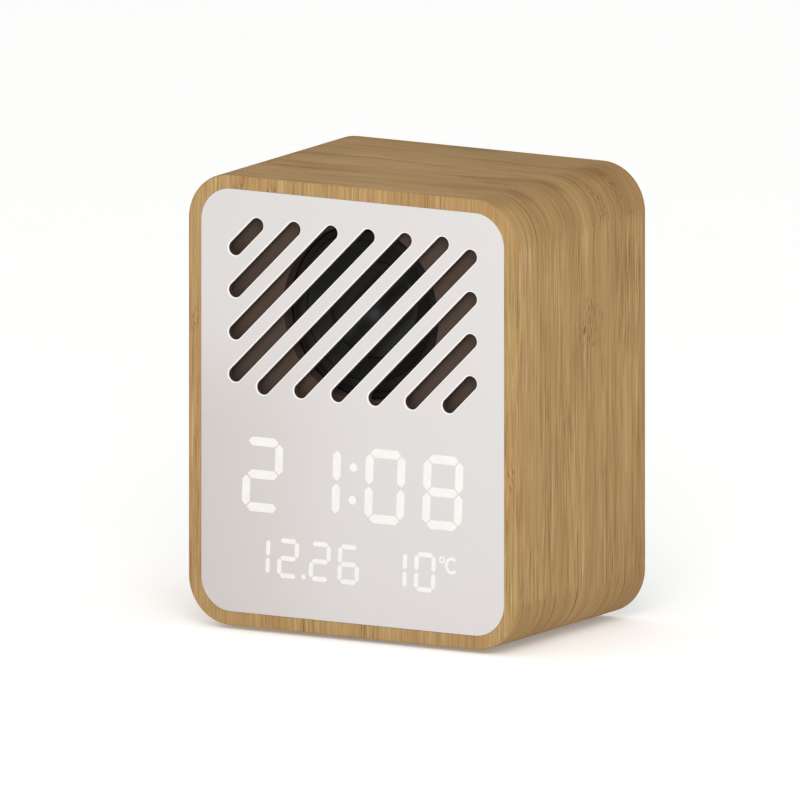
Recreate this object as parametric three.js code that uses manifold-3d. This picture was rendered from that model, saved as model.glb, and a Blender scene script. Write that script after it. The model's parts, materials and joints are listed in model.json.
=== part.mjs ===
// Desk alarm clock: a bamboo case, a slotted white front with a loudspeaker and a
// hidden digit display behind it, and its controls and charging socket on the back.
//
// Millimetres. X runs to the right as seen from the front, Y from the front to the
// back, Z up. The origin is on the resting plane, under the middle of the case.
// Depths are measured from the front face of the case, and heights from its middle,
// unless a name says otherwise.

import * as THREE from 'three';
import { mergeVertices } from 'three/addons/utils/BufferGeometryUtils.js';
import Module from 'manifold-3d';

const wasm = await Module();
wasm.setup();

// ---------------------------------------------------------------- driving dimensions

const FIT = 0.3; // clearance between two pieces that seat on or in each other

// Case
const CASE_WIDTH = 100;
const CASE_HEIGHT = 120.7;
const CASE_DEPTH = 68;
const CASE_CORNER = 12.7;
const WALL_SIDE = 3.6;
const WALL_TOP = 3.45;
const SHOULDER = 2; // how far the inner shoulders stand in from the rebates

// Feet
const FOOT_HEIGHT = 1; // below the case
const FOOT_RECESS = 0.8;
const FOOT_RADIUS = 4.5;
const FOOT_INSET_X = 20; // from the case's sides to a foot's centre
const FOOT_INSET_Y = 15;

// Front panel
const PANEL_THICKNESS = 2;
const PANEL_CORNER = 9;
const SLOT_COUNT = 10;
const SLOT_WIDTH = 4;
const SLOT_PITCH = 7.98;
const SLOT_ANGLE = Math.PI / 4;
const SLOT_FIELD_WIDTH = 71.5; // field that the slots' end centres fill
const SLOT_FIELD_HEIGHT = 43.1;

// Chassis
const CHASSIS_GAP = 2.3; // from the back of the panel to the baffle
const CHASSIS_THICKNESS = 4.4;
const CHASSIS_LIP = 5;
const POST_RADIUS = 3.2;
const POST_INSET_X = 7; // from the panel's edges to a post's centre
const POST_INSET_Z = 7.2;
const LIGHT_SEAL = 1.5; // wall round the display, against stray light
const PILOT_DEPTH = 3.5; // of the holes for the small screws

// Rear cover
const COVER_RECESS = 0.8;
const COVER_THICKNESS = 2.4;
const COVER_CUP_DEPTH = 2;
const COVER_CUP_WALL = 1.2;

// Screws: the head's radius and rise, the shank's radius and length
const CASE_SCREW = { head: 2.8, rise: 1.6, shank: 1.4, length: 9 };
const SMALL_SCREW = { head: 2, rise: 1.3, shank: 0.9, length: 4 };

// Loudspeaker, turned about an axis along Y
const SPEAKER_HEIGHT = 25.8;
const SPEAKER_HOLE_RADIUS = 23.5;
const SPEAKER_FRAME_MARGIN = 2.5; // from the hole to the sides of the square frame
const SPEAKER_FRAME_CORNER = 6;
const SPEAKER_SCREW_INSET = 4.3; // from the frame's sides
const GASKET_THICKNESS = 0.4;
const FLANGE_THICKNESS = 0.8;
const FLANGE_WIDTH = 1.9; // how far the flange reaches inside the hole
const BASKET_DEPTH = 8.3;
const BASKET_WALL = 0.9;
const BASKET_SEAT_RADIUS = 15.6;
const BASKET_LAND = 1; // flat ring round the coil, and round the rim above the windows
const BASKET_WINDOW = 17.2;
const SURROUND_THICKNESS = 0.5;
const SURROUND_RISE = 1.3;
const SURROUND_OVERLAP = 0.3; // of the half roll on the flange
const SURROUND_WIDTH = 2.85; // from the flange's opening to the cone
const CONE_THICKNESS = 0.5;
const CAP_INSET = 5.95; // from the cone's edge to the dust cap's
const CAP_RISE = 2.2;
const COIL_RADIUS = 6.8;
const COIL_WALL = 0.5;
const COIL_LENGTH = 8;
const COIL_SETBACK = 4.6; // from the back of the flange to the coil
const COIL_GAP = 0.5; // air gap each side of the coil
const PLATE_THICKNESS = 2.5;
const PLATE_RADIUS = 15;
const MAGNET_THICKNESS = 6;
const MAGNET_RADIUS = 16;
const MAGNET_BORE = 9;
const SPIDER_WAVES = 2;
const SPIDER_WAVE_HEIGHT = 0.5;
const SPIDER_THICKNESS = 0.4;
const SPIDER_CLEARANCE = 1.2; // to the wall of the basket
const TERMINAL = { width: 10, thickness: 1.2, length: 6, setback: 3, drop: 3.2 };
const LUG = { width: 2, rise: 0.8, inset: 1 };

// Display
const DIGIT_SLANT = Math.tan(THREE.MathUtils.degToRad(2.1));
const TIME_DIGIT = { width: 12.1, height: 20, stroke: 2.4 };
const TIME_HEIGHT = -19.15;
const TIME_DIGIT_CENTRES = [-27.4, -9.8, 9.8, 27.4];
const COLON_RADIUS = 1.2;
const COLON_SPACING = 8.8;
const DATE_DIGIT = { width: 6.5, height: 10.65, stroke: 1.3 };
const DATE_HEIGHT = -40.9;
const DATE_DIGIT_CENTRES = [-28.35, -19.63, -9.95, -1.26, 13.27, 21.99];
const DATE_DOT = { x: -14.95, z: -45.4, radius: 0.7 };
const DEGREE_RING = { x: 27.24, z: -37.1, radius: 1 };
const UNIT_WINDOW = { x: 30.15, z: -38.5, width: 3.3, height: 4.6, corner: 0.5 };
const SEGMENT_GAP = 0.3;
const REFLECTOR_MARGIN = 1.6; // around the digits
const REFLECTOR_CORNER = 1;
const DIFFUSER_THICKNESS = 0.4;
const DISPLAY_EAR = 5.5; // how far the display board reaches past the reflector
const LED_SIZE = 1;
const LED_RISE = 0.6;

// Main board
const BOARD_THICKNESS = 1.6;
const BOARD_CORNER = 1.5;
const BOARD_WIDTH = 80;
const BOARD_TOP = 16;
const BOARD_BOTTOM = -45.5;
const BOARD_TO_COVER = 7;
const BOARD_HOLE_INSET = 4;
const BOSS_RADIUS = 2.8;

// Push buttons and the switches under them
const BUTTON_NAMES = ['mode', 'minus', 'plus', 'alarm'];
const BUTTON_PITCH = 15;
const BUTTON_HEIGHT = 6;
const BUTTON_RADIUS = 4;
const BUTTON_FLANGE_WIDTH = 1;
const BUTTON_FLANGE_THICKNESS = 1;
const BUTTON_PROUD = 0.6;
const BUTTON_TRAVEL = 0.6;
const SWITCH_SIZE = 6;
const SWITCH_HEIGHT = 3.5;
const PLUNGER_RADIUS = 1.7;
const PLUNGER_LENGTH = 2.2;
const PLUNGER_PROUD = 1; // of the switch, at rest

// Power switch
const SLIDER_X = -22.5;
const SLIDER_HEIGHT = -16;
const SLIDER_TRAVEL = 2.5;
const SLIDER_KNOB = { width: 4, height: 3.4 };
const SLIDER_APRON = { overlap: 1.5, thickness: 0.8 };
const SLIDER_STEM = 1.2;
const SLIDER_BODY = { width: 9, height: 4.4, depth: 3.4, floor: 1 };

// Charging socket, a standard upright 24-contact receptacle
const SOCKET_HEIGHT = -38;
const SOCKET_OUTSIDE = { width: 8.94, height: 3.26 };
const SOCKET_WALL = 0.3;
const SOCKET_DEPTH = 5.4;
const TONGUE = { width: 6.7, height: 0.7, length: 4.4 };
const PLUG_OPENING = { width: 12.6, height: 6.8 };

// Power cell, 18 mm by 65 mm, and its tray
const CELL_RADIUS = 9.2;
const CELL_LENGTH = 65;
const CELL_DEPTH = 32;
const TRAY_WALL = 1.6;
const TRAY_LIP = 2; // how far the tray reaches above the cell's axis
const CELL_CABLE_RISE = 9.5; // from the main board's lower edge to where the cable meets it

// Pieces on the main board
const SHIELD = { x: -22, z: -2, width: 16, height: 12, rise: 2.4, wall: 0.4 };
const COIN_CELL = { x: 21, z: -12, radius: 10, thickness: 3.2, wall: 1.2 };
const CHIPS = [
  { x: -2, z: -26, width: 9, height: 9, rise: 1.2 },
  { x: -24, z: -30, width: 6, height: 5, rise: 1.4 },
];
const RIBBON = { width: 12, thickness: 0.4, straight: 3, sag: 5 };
const RIBBON_SOCKET = { width: 15, height: 4, rise: 2.4 };
const RIBBON_DISPLAY_HEIGHT = -14;
const RIBBON_BOARD_HEIGHT = -10;

// Temperature sensor and the vent over it
const SENSOR = { x: 22.5, z: -16, radius: 1.3, length: 3.6 };
const VENT = { count: 5, pitch: 3.2, width: 1.6, height: 10 };

const CABLE_RADIUS = 1.1;

// Facets
const ARC_STEPS = 3; // two times this many facets in each arc of an outline
const ROUND_STEPS = 16;
const SCREW_STEPS = 8;
const SPEAKER_STEPS = 24;
const CABLE_STEPS = 12;
const RIBBON_STEPS = 20;
const ROLL_STEPS = 4; // across the loudspeaker's half roll
const DOME_STEPS = 3; // from the dust cap's middle to its rim
const WELD = 1e-4;
const JOIN = 0.1; // overlap of two shapes that are joined into one piece
const CUT = 1; // how far a cutting shape runs past the faces that it opens
const END_FLAT = 0.1; // left between the two arcs of a round end

// ---------------------------------------------------------------- derived places

const MIDDLE = FOOT_HEIGHT + CASE_HEIGHT / 2;
const PANEL_WIDTH = CASE_WIDTH - 2 * (WALL_SIDE + FIT);
const PANEL_HEIGHT = CASE_HEIGHT - 2 * (WALL_TOP + FIT);
const LIP_FRONT = PANEL_THICKNESS + FIT;
const BAFFLE_FRONT = PANEL_THICKNESS + CHASSIS_GAP;
const BAFFLE_BACK = BAFFLE_FRONT + CHASSIS_THICKNESS;
const COVER_BACK = CASE_DEPTH - COVER_RECESS;
const COVER_FRONT = COVER_BACK - COVER_THICKNESS;
const POST_X = PANEL_WIDTH / 2 - POST_INSET_X;
const POST_Z = PANEL_HEIGHT / 2 - POST_INSET_Z;
const POST_BACK = COVER_FRONT - COVER_CUP_DEPTH - FIT;
const BOARD_BACK = COVER_FRONT - BOARD_TO_COVER;
const BOARD_FRONT = BOARD_BACK - BOARD_THICKNESS;
const SPEAKER_FRAME = 2 * (SPEAKER_HOLE_RADIUS + SPEAKER_FRAME_MARGIN);
const SPEAKER_SCREW_OFFSET = SPEAKER_FRAME / 2 - SPEAKER_SCREW_INSET;
const FLANGE_OPENING = SPEAKER_HOLE_RADIUS - FLANGE_WIDTH;
const CONE_RADIUS = FLANGE_OPENING - SURROUND_WIDTH;
const CAP_RADIUS = CONE_RADIUS - CAP_INSET;
const BUTTON_FLANGE = BUTTON_RADIUS + BUTTON_FLANGE_WIDTH;
const GASKET_FRONT = BAFFLE_BACK + FIT;
const GASKET_BACK = GASKET_FRONT + GASKET_THICKNESS;
const FLANGE_FRONT = GASKET_BACK + FIT;
const FLANGE_BACK = FLANGE_FRONT + FLANGE_THICKNESS;
const BASKET_BACK = FLANGE_BACK + BASKET_DEPTH;
const DISPLAY_BOARD_FRONT = BAFFLE_BACK + FIT;
const DISPLAY_BOARD_BACK = DISPLAY_BOARD_FRONT + BOARD_THICKNESS;

// ---------------------------------------------------------------- tools

const group = new THREE.Group();
group.name = 'alarm_clock';

const finish = (color, roughness, metalness = 0) =>
  new THREE.MeshStandardMaterial({ color, roughness, metalness });

const BAMBOO = finish(0xb08e5f, 0.55);
const FOOT_RUBBER = finish(0x2a2a2a, 0.85);
const WHITE_PLASTIC = finish(0xe4dfdc, 0.45);
const DARK_PLASTIC = finish(0x4b4039, 0.7);
const BLACK_PLASTIC = finish(0x1d1b1a, 0.5);
const COVER_PLASTIC = finish(0x2c2a29, 0.55);
const PLUNGER_PLASTIC = finish(0xb9b4ac, 0.6);
const DIFFUSER_FILM = finish(0xf4f4f0, 0.5);
const BOARD_GREEN = finish(0x1d4a30, 0.5);
const STEEL = finish(0xa8a8a6, 0.35, 1);
const DARK_STEEL = finish(0x4a4a4c, 0.4, 1);
const FOAM = finish(0x161616, 0.95);
const SURROUND_RUBBER = finish(0x1c1a19, 0.9);
const CONE_PAPER = finish(0x1b1817, 0.85);
const CAP_PAPER = finish(0x211d1b, 0.75);
const COPPER = finish(0xa55a2a, 0.35, 0.8);
const SPIDER_CLOTH = finish(0xc8a05a, 0.9);
const FERRITE = finish(0x2b2b2d, 0.6);
const TAG_BOARD = finish(0x8a6a3c, 0.6);
const RED_CABLE = finish(0x7a1c1c, 0.6);
const BLACK_CABLE = finish(0x222222, 0.6);
const RIBBON_FILM = finish(0xd8d8d4, 0.5);
const CELL_WRAP = finish(0x2f6f8f, 0.4);
const SENSOR_RESIN = finish(0x20242c, 0.4);

const yAt = (depth) => depth - CASE_DEPTH / 2;
const zAt = (height) => MIDDLE + height;

function meshOf(positions, triangles) {
  return new wasm.Mesh({ numProp: 3, vertProperties: positions, triVerts: triangles });
}

// Turns a three.js geometry into a solid, whichever way its profile was drawn.
function solid(geometry) {
  geometry.deleteAttribute('normal');
  geometry.deleteAttribute('uv');
  const merged = mergeVertices(geometry, WELD);
  const corners = merged.index.array;
  const kept = [];
  for (let i = 0; i < corners.length; i += 3) {
    const [a, b, c] = [corners[i], corners[i + 1], corners[i + 2]];
    if (a !== b && b !== c && c !== a) kept.push(a, b, c);
  }
  const positions = merged.attributes.position.array;
  const body = new wasm.Manifold(meshOf(positions, new Uint32Array(kept)));
  if (body.volume() > 0) return body;
  return new wasm.Manifold(meshOf(positions, new Uint32Array(kept.reverse())));
}

// Adds one named piece to the clock.
function piece(name, body, material) {
  const result = body.getMesh();
  const geometry = new THREE.BufferGeometry();
  geometry.setAttribute('position', new THREE.BufferAttribute(result.vertProperties, 3));
  geometry.setIndex(new THREE.BufferAttribute(result.triVerts, 1));
  geometry.computeVertexNormals();
  const mesh = new THREE.Mesh(geometry, material);
  mesh.name = name;
  group.add(mesh);
}

// An outline in X and Z, extruded between two depths.
function slab(shape, front, back) {
  const options = { depth: back - front, bevelEnabled: false, curveSegments: ARC_STEPS };
  const geometry = new THREE.ExtrudeGeometry(shape, options);
  geometry.rotateX(Math.PI / 2);
  geometry.translate(0, yAt(back), 0);
  return solid(geometry);
}

// A box with its middle at x and z, between two depths.
function block(x, z, width, height, front, back) {
  const geometry = new THREE.BoxGeometry(width, back - front, height);
  geometry.translate(x, yAt((front + back) / 2), z);
  return solid(geometry);
}

// A round bar along Y.
function bar(x, z, radius, front, back, steps = ROUND_STEPS) {
  const geometry = new THREE.CylinderGeometry(radius, radius, back - front, steps);
  geometry.translate(x, yAt((front + back) / 2), z);
  return solid(geometry);
}

// A closed profile of [radius, depth] points, turned about the loudspeaker's axis.
function turned(profile) {
  const points = profile.map(([radius, depth]) => new THREE.Vector2(radius, yAt(depth)));
  points.push(points[0].clone());
  const geometry = new THREE.LatheGeometry(points, SPEAKER_STEPS);
  geometry.translate(0, 0, zAt(SPEAKER_HEIGHT));
  return solid(geometry);
}

// A rectangle with round corners in X and Z.
function roundedRectangle(x, z, width, height, radius) {
  const right = x + width / 2 - radius;
  const left = x - width / 2 + radius;
  const top = z + height / 2 - radius;
  const bottom = z - height / 2 + radius;
  const shape = new THREE.Shape();
  shape.absarc(right, top, radius, 0, Math.PI / 2, false);
  shape.absarc(left, top, radius, Math.PI / 2, Math.PI, false);
  shape.absarc(left, bottom, radius, Math.PI, 1.5 * Math.PI, false);
  shape.absarc(right, bottom, radius, 1.5 * Math.PI, 2 * Math.PI, false);
  shape.closePath();
  return shape;
}

// A rectangle whose short sides are round.
function roundEnded(x, z, width, height) {
  return roundedRectangle(x, z, width, height, (Math.min(width, height) - END_FLAT) / 2);
}

// The outline shared by the panel, the chassis and the cover, grown by a margin.
function openingOutline(margin) {
  const width = PANEL_WIDTH + 2 * margin;
  const height = PANEL_HEIGHT + 2 * margin;
  return roundedRectangle(0, MIDDLE, width, height, PANEL_CORNER + margin);
}

// A cable with a round section along a smooth route of [x, depth, height] points.
function cable(route) {
  const points = route.map(([x, depth, height]) => new THREE.Vector3(x, yAt(depth), zAt(height)));
  const section = new THREE.Shape();
  section.absarc(0, 0, CABLE_RADIUS, 0, 2 * Math.PI, false);
  const path = new THREE.CatmullRomCurve3(points);
  const options = { steps: CABLE_STEPS, extrudePath: path, curveSegments: ARC_STEPS };
  return solid(new THREE.ExtrudeGeometry(section, options));
}

// A screw along Y. Its head's flat underside is at the depth "seat", and it points
// towards the front of the clock (way = -1) or the back (way = 1).
function screw(x, z, seat, way, sizes) {
  const headEnd = seat - way * sizes.rise;
  const tip = seat + way * sizes.length;
  const root = seat - way * JOIN;
  const head = bar(x, z, sizes.head, Math.min(seat, headEnd), Math.max(seat, headEnd));
  const shank = bar(x, z, sizes.shank, Math.min(root, tip), Math.max(root, tip), SCREW_STEPS);
  return head.add(shank);
}

const BOTH = [-1, 1];

// ---------------------------------------------------------------- case and feet

const footPlaces = BOTH.flatMap((sideX) => BOTH.map((sideY) => ({
  x: sideX * (CASE_WIDTH / 2 - FOOT_INSET_X),
  y: sideY * (CASE_DEPTH / 2 - FOOT_INSET_Y),
})));

// A round disc along Z between two heights above the resting plane.
function disc(place, radius, low, high) {
  const geometry = new THREE.CylinderGeometry(radius, radius, high - low, ROUND_STEPS);
  geometry.rotateX(Math.PI / 2);
  geometry.translate(place.x, place.y, (low + high) / 2);
  return solid(geometry);
}

function makeCase() {
  const outline = roundedRectangle(0, MIDDLE, CASE_WIDTH, CASE_HEIGHT, CASE_CORNER);
  const frontRebate = BAFFLE_BACK + FIT;
  const rearShoulder = COVER_FRONT - FIT;
  let body = slab(outline, 0, CASE_DEPTH)
    .subtract(slab(openingOutline(FIT), -CUT, frontRebate))
    .subtract(slab(openingOutline(FIT - SHOULDER), frontRebate - CUT, rearShoulder + CUT))
    .subtract(slab(openingOutline(FIT), rearShoulder, CASE_DEPTH + CUT));
  for (const place of footPlaces) {
    body = body.subtract(disc(place, FOOT_RADIUS + FIT, 0, FOOT_HEIGHT + FOOT_RECESS));
  }
  piece('bamboo_case', body, BAMBOO);
}

function makeFeet() {
  const top = FOOT_HEIGHT + FOOT_RECESS - FIT;
  footPlaces.forEach((place, i) => {
    piece(`foot_${i + 1}`, disc(place, FOOT_RADIUS, 0, top), FOOT_RUBBER);
  });
}

// ---------------------------------------------------------------- front panel

// The two end centres of each slot: a line at the slots' angle, clipped to the field.
function slotEnds() {
  const [cos, sin] = [Math.cos(SLOT_ANGLE), Math.sin(SLOT_ANGLE)];
  const ends = [];
  for (let i = 0; i < SLOT_COUNT; i += 1) {
    const offset = (i - (SLOT_COUNT - 1) / 2) * SLOT_PITCH;
    const [baseX, baseZ] = [-offset * sin, offset * cos];
    const reachX = BOTH.map((side) => (side * SLOT_FIELD_WIDTH / 2 - baseX) / cos);
    const reachZ = BOTH.map((side) => (side * SLOT_FIELD_HEIGHT / 2 - baseZ) / sin);
    const from = Math.max(reachX[0], reachZ[0]);
    const to = Math.min(reachX[1], reachZ[1]);
    ends.push([from, to].map((t) => [baseX + t * cos, zAt(SPEAKER_HEIGHT) + baseZ + t * sin]));
  }
  return ends;
}

function slotPath([[x0, z0], [x1, z1]]) {
  const quarter = Math.PI / 2;
  const radius = SLOT_WIDTH / 2;
  const path = new THREE.Path();
  path.absarc(x1, z1, radius, SLOT_ANGLE - quarter, SLOT_ANGLE + quarter, false);
  path.absarc(x0, z0, radius, SLOT_ANGLE + quarter, SLOT_ANGLE + 3 * quarter, false);
  path.closePath();
  return path;
}

function makePanel() {
  const outline = openingOutline(0);
  outline.holes.push(...slotEnds().map(slotPath));
  piece('front_panel', slab(outline, 0, PANEL_THICKNESS), WHITE_PLASTIC);
}

// ---------------------------------------------------------------- display

// The seven segments of one digit, as six-sided outlines about the digit's centre.
function segmentOutlines({ width, height, stroke }) {
  const half = stroke / 2;
  const columnX = width / 2 - half;
  const rowZ = height / 2 - half;
  const tip = SEGMENT_GAP * Math.SQRT1_2;
  const outlines = [];
  for (const z of [-rowZ, 0, rowZ]) {
    const end = columnX - tip;
    outlines.push([
      [-end, z], [-end + half, z + half], [end - half, z + half],
      [end, z], [end - half, z - half], [-end + half, z - half],
    ]);
  }
  for (const x of [-columnX, columnX]) {
    for (const side of BOTH) {
      const low = side < 0 ? -rowZ + tip : tip;
      const high = side < 0 ? -tip : rowZ - tip;
      outlines.push([
        [x, low], [x + half, low + half], [x + half, high - half],
        [x, high], [x - half, high - half], [x - half, low + half],
      ]);
    }
  }
  return outlines;
}

// Places a digit's outlines on the display, leaning with the digits' slant.
function placedSegments(digit, centreX, height) {
  return segmentOutlines(digit).map((outline) => outline.map(([x, z]) => (
    [centreX + x + z * DIGIT_SLANT, zAt(height) + z]
  )));
}

const segments = [
  ...TIME_DIGIT_CENTRES.flatMap((x) => placedSegments(TIME_DIGIT, x, TIME_HEIGHT)),
  ...DATE_DIGIT_CENTRES.flatMap((x) => placedSegments(DATE_DIGIT, x, DATE_HEIGHT)),
];

const dots = [
  ...BOTH.map((side) => ({
    x: side * COLON_SPACING / 2 * DIGIT_SLANT,
    z: TIME_HEIGHT + side * COLON_SPACING / 2,
    radius: COLON_RADIUS,
  })),
  DATE_DOT,
  DEGREE_RING,
];

// The reflector covers every digit and a margin around them.
const displayTop = TIME_HEIGHT + TIME_DIGIT.height / 2 + REFLECTOR_MARGIN;
const displayBottom = DATE_HEIGHT - DATE_DIGIT.height / 2 - REFLECTOR_MARGIN;
const displaySize = {
  width: 2 * (TIME_DIGIT_CENTRES.at(-1) + TIME_DIGIT.width / 2 + REFLECTOR_MARGIN),
  height: displayTop - displayBottom,
};
const displayMiddle = zAt((displayTop + displayBottom) / 2);

function displayOutline(margin) {
  const width = displaySize.width + 2 * margin;
  const height = displaySize.height + 2 * margin;
  return roundedRectangle(0, displayMiddle, width, height, REFLECTOR_CORNER + margin);
}

const displayScrews = BOTH.map((side) => ({
  x: side * (displaySize.width / 2 + DISPLAY_EAR / 2 + FIT),
  z: displayMiddle + displaySize.height / 4,
}));

function makeReflector() {
  const outline = displayOutline(0);
  const corners = segments.map((points) => points.map(([x, z]) => new THREE.Vector2(x, z)));
  outline.holes.push(...corners.map((points) => new THREE.Path(points)));
  for (const dot of dots) {
    const path = new THREE.Path();
    path.absarc(dot.x, zAt(dot.z), dot.radius, 0, 2 * Math.PI, false);
    outline.holes.push(path);
  }
  const { x, z, width, height, corner } = UNIT_WINDOW;
  outline.holes.push(roundedRectangle(x, zAt(z), width, height, corner));
  const front = LIP_FRONT + DIFFUSER_THICKNESS + FIT;
  const back = DISPLAY_BOARD_FRONT - LED_RISE - FIT;
  piece('display_reflector', slab(outline, front, back), BLACK_PLASTIC);
}

function makeDiffuser() {
  const film = slab(displayOutline(0), LIP_FRONT, LIP_FRONT + DIFFUSER_THICKNESS);
  piece('display_diffuser', film, DIFFUSER_FILM);
}

function makeDisplayBoard() {
  const earTop = displayMiddle + displaySize.height / 2;
  const earBottom = zAt(-POST_Z) + POST_RADIUS + 3 * FIT;
  const earHeight = earTop - earBottom;
  const earMiddle = (earTop + earBottom) / 2;
  const earWidth = displaySize.width + 2 * DISPLAY_EAR;
  const [front, back] = [DISPLAY_BOARD_FRONT, DISPLAY_BOARD_BACK];
  const socketHeight = zAt(RIBBON_DISPLAY_HEIGHT);
  let body = slab(displayOutline(0), front, back)
    .add(block(0, earMiddle, earWidth, earHeight, front, back))
    .add(block(0, socketHeight, RIBBON_SOCKET.width, RIBBON_SOCKET.height,
      back - JOIN, back + RIBBON_SOCKET.rise));
  for (const points of segments) {
    const x = (points[0][0] + points[3][0]) / 2;
    const z = (points[0][1] + points[3][1]) / 2;
    body = body.add(block(x, z, LED_SIZE, LED_SIZE, front - LED_RISE, front + JOIN));
  }
  for (const place of displayScrews) {
    body = body.subtract(bar(place.x, place.z, SMALL_SCREW.shank + FIT, front - CUT, back + CUT,
      SCREW_STEPS));
  }
  piece('display_board', body, BOARD_GREEN);
}

function makeDisplayScrews() {
  displayScrews.forEach(({ x, z }, i) => {
    const seat = DISPLAY_BOARD_BACK + FIT;
    piece(`display_screw_${i + 1}`, screw(x, z, seat, -1, SMALL_SCREW), STEEL);
  });
}

// ---------------------------------------------------------------- chassis

const postPlaces = BOTH.flatMap((sideX) => BOTH.map((sideZ) => ({
  x: sideX * POST_X,
  z: zAt(sideZ * POST_Z),
})));

const speakerScrews = BOTH.flatMap((sideX) => BOTH.map((sideZ) => ({
  x: sideX * SPEAKER_SCREW_OFFSET,
  z: zAt(SPEAKER_HEIGHT + sideZ * SPEAKER_SCREW_OFFSET),
})));

function makeChassis() {
  const lip = slab(openingOutline(0), LIP_FRONT, BAFFLE_FRONT + JOIN)
    .subtract(slab(openingOutline(-CHASSIS_LIP), LIP_FRONT - CUT, BAFFLE_FRONT + CUT));
  let body = slab(openingOutline(0), BAFFLE_FRONT, BAFFLE_BACK)
    .add(lip)
    .add(slab(displayOutline(FIT + LIGHT_SEAL), LIP_FRONT, BAFFLE_FRONT + JOIN))
    .subtract(slab(displayOutline(FIT), 0, BAFFLE_BACK + CUT))
    .subtract(bar(0, zAt(SPEAKER_HEIGHT), SPEAKER_HOLE_RADIUS, 0, BAFFLE_BACK + CUT,
      SPEAKER_STEPS));
  for (const { x, z } of postPlaces) {
    const pilotFront = POST_BACK - CASE_SCREW.length;
    body = body
      .add(bar(x, z, POST_RADIUS, BAFFLE_BACK - JOIN, POST_BACK))
      .subtract(bar(x, z, CASE_SCREW.shank + FIT, pilotFront, POST_BACK + CUT, SCREW_STEPS));
  }
  for (const { x, z } of [...speakerScrews, ...displayScrews]) {
    const pilotFront = BAFFLE_BACK - PILOT_DEPTH;
    body = body.subtract(bar(x, z, SMALL_SCREW.shank + FIT, pilotFront, BAFFLE_BACK + CUT,
      SCREW_STEPS));
  }
  piece('chassis', body, DARK_PLASTIC);
}

// ---------------------------------------------------------------- loudspeaker

function speakerFrameOutline() {
  const outline = roundedRectangle(0, zAt(SPEAKER_HEIGHT), SPEAKER_FRAME, SPEAKER_FRAME,
    SPEAKER_FRAME_CORNER);
  for (const { x, z } of speakerScrews) {
    const hole = new THREE.Path();
    hole.absarc(x, z, SMALL_SCREW.shank + FIT, 0, 2 * Math.PI, false);
    outline.holes.push(hole);
  }
  return outline;
}

function makeGasket() {
  const body = slab(speakerFrameOutline(), GASKET_FRONT, GASKET_BACK)
    .subtract(bar(0, zAt(SPEAKER_HEIGHT), SPEAKER_HOLE_RADIUS, 0, GASKET_BACK + CUT,
      SPEAKER_STEPS));
  piece('speaker_gasket', body, FOAM);
}

const MAGNET_FRONT = BASKET_BACK + 2 * FIT + PLATE_THICKNESS;
const MAGNET_BACK = MAGNET_FRONT + MAGNET_THICKNESS;
const COIL_FRONT = FLANGE_BACK + COIL_SETBACK;
const POLE_RADIUS = COIL_RADIUS - COIL_WALL - COIL_GAP;
const CONE_EDGE = FLANGE_FRONT - FIT - SURROUND_THICKNESS;

function makeBasket() {
  const bore = COIL_RADIUS + COIL_GAP + BASKET_LAND;
  const shell = turned([
    [FLANGE_OPENING, FLANGE_FRONT],
    [FLANGE_OPENING + BASKET_WALL, FLANGE_FRONT],
    [FLANGE_OPENING + BASKET_WALL, FLANGE_BACK],
    [BASKET_SEAT_RADIUS, BASKET_BACK],
    [bore, BASKET_BACK],
    [bore, BASKET_BACK - BASKET_WALL],
    [BASKET_SEAT_RADIUS - BASKET_WALL, BASKET_BACK - BASKET_WALL],
    [FLANGE_OPENING, FLANGE_BACK],
  ]);
  const opening = bar(0, zAt(SPEAKER_HEIGHT), FLANGE_OPENING, 0, FLANGE_BACK + CUT, SPEAKER_STEPS);
  const windowFront = FLANGE_BACK + BASKET_LAND;
  const windowBack = BASKET_BACK - 2 * BASKET_WALL;
  const reach = 2 * SPEAKER_FRAME;
  const centre = zAt(SPEAKER_HEIGHT);
  const body = slab(speakerFrameOutline(), FLANGE_FRONT, FLANGE_BACK)
    .subtract(opening)
    .add(shell)
    .subtract(block(0, centre, BASKET_WINDOW, reach, windowFront, windowBack))
    .subtract(block(0, centre, reach, BASKET_WINDOW, windowFront, windowBack));
  piece('speaker_basket', body, DARK_STEEL);
}

// The half roll between the cone's edge and the frame.
function makeSurround() {
  const inner = CONE_RADIUS + FIT;
  const rollOuter = FLANGE_OPENING + SURROUND_OVERLAP;
  const rim = SPEAKER_HOLE_RADIUS - FIT;
  const middle = (inner + rollOuter) / 2;
  const half = (rollOuter - inner) / 2;
  const front = [];
  const back = [];
  for (let i = 0; i <= ROLL_STEPS; i += 1) {
    const angle = Math.PI * (i / ROLL_STEPS);
    const [cos, sin] = [Math.cos(angle), Math.sin(angle)];
    front.push([middle - half * cos, CONE_EDGE - SURROUND_RISE * sin]);
    const innerHalf = half - SURROUND_THICKNESS / 2;
    const innerRise = SURROUND_RISE - SURROUND_THICKNESS / 2;
    back.unshift([middle - innerHalf * cos, CONE_EDGE + SURROUND_THICKNESS - innerRise * sin]);
  }
  const profile = [...front, [rim, CONE_EDGE], [rim, CONE_EDGE + SURROUND_THICKNESS], ...back];
  piece('speaker_surround', turned(profile), SURROUND_RUBBER);
}

function makeCone() {
  const neck = COIL_RADIUS + FIT;
  const profile = [
    [CONE_RADIUS, CONE_EDGE],
    [CONE_RADIUS, CONE_EDGE + CONE_THICKNESS],
    [neck + CONE_THICKNESS, COIL_FRONT + 2 * CONE_THICKNESS],
    [neck, COIL_FRONT + 2 * CONE_THICKNESS],
    [neck, COIL_FRONT],
  ];
  piece('speaker_cone', turned(profile), CONE_PAPER);
}

// The cone's front surface at a radius.
function coneDepth(radius) {
  const share = (CONE_RADIUS - radius) / (CONE_RADIUS - COIL_RADIUS - FIT);
  return CONE_EDGE + share * (COIL_FRONT - CONE_EDGE);
}

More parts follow.
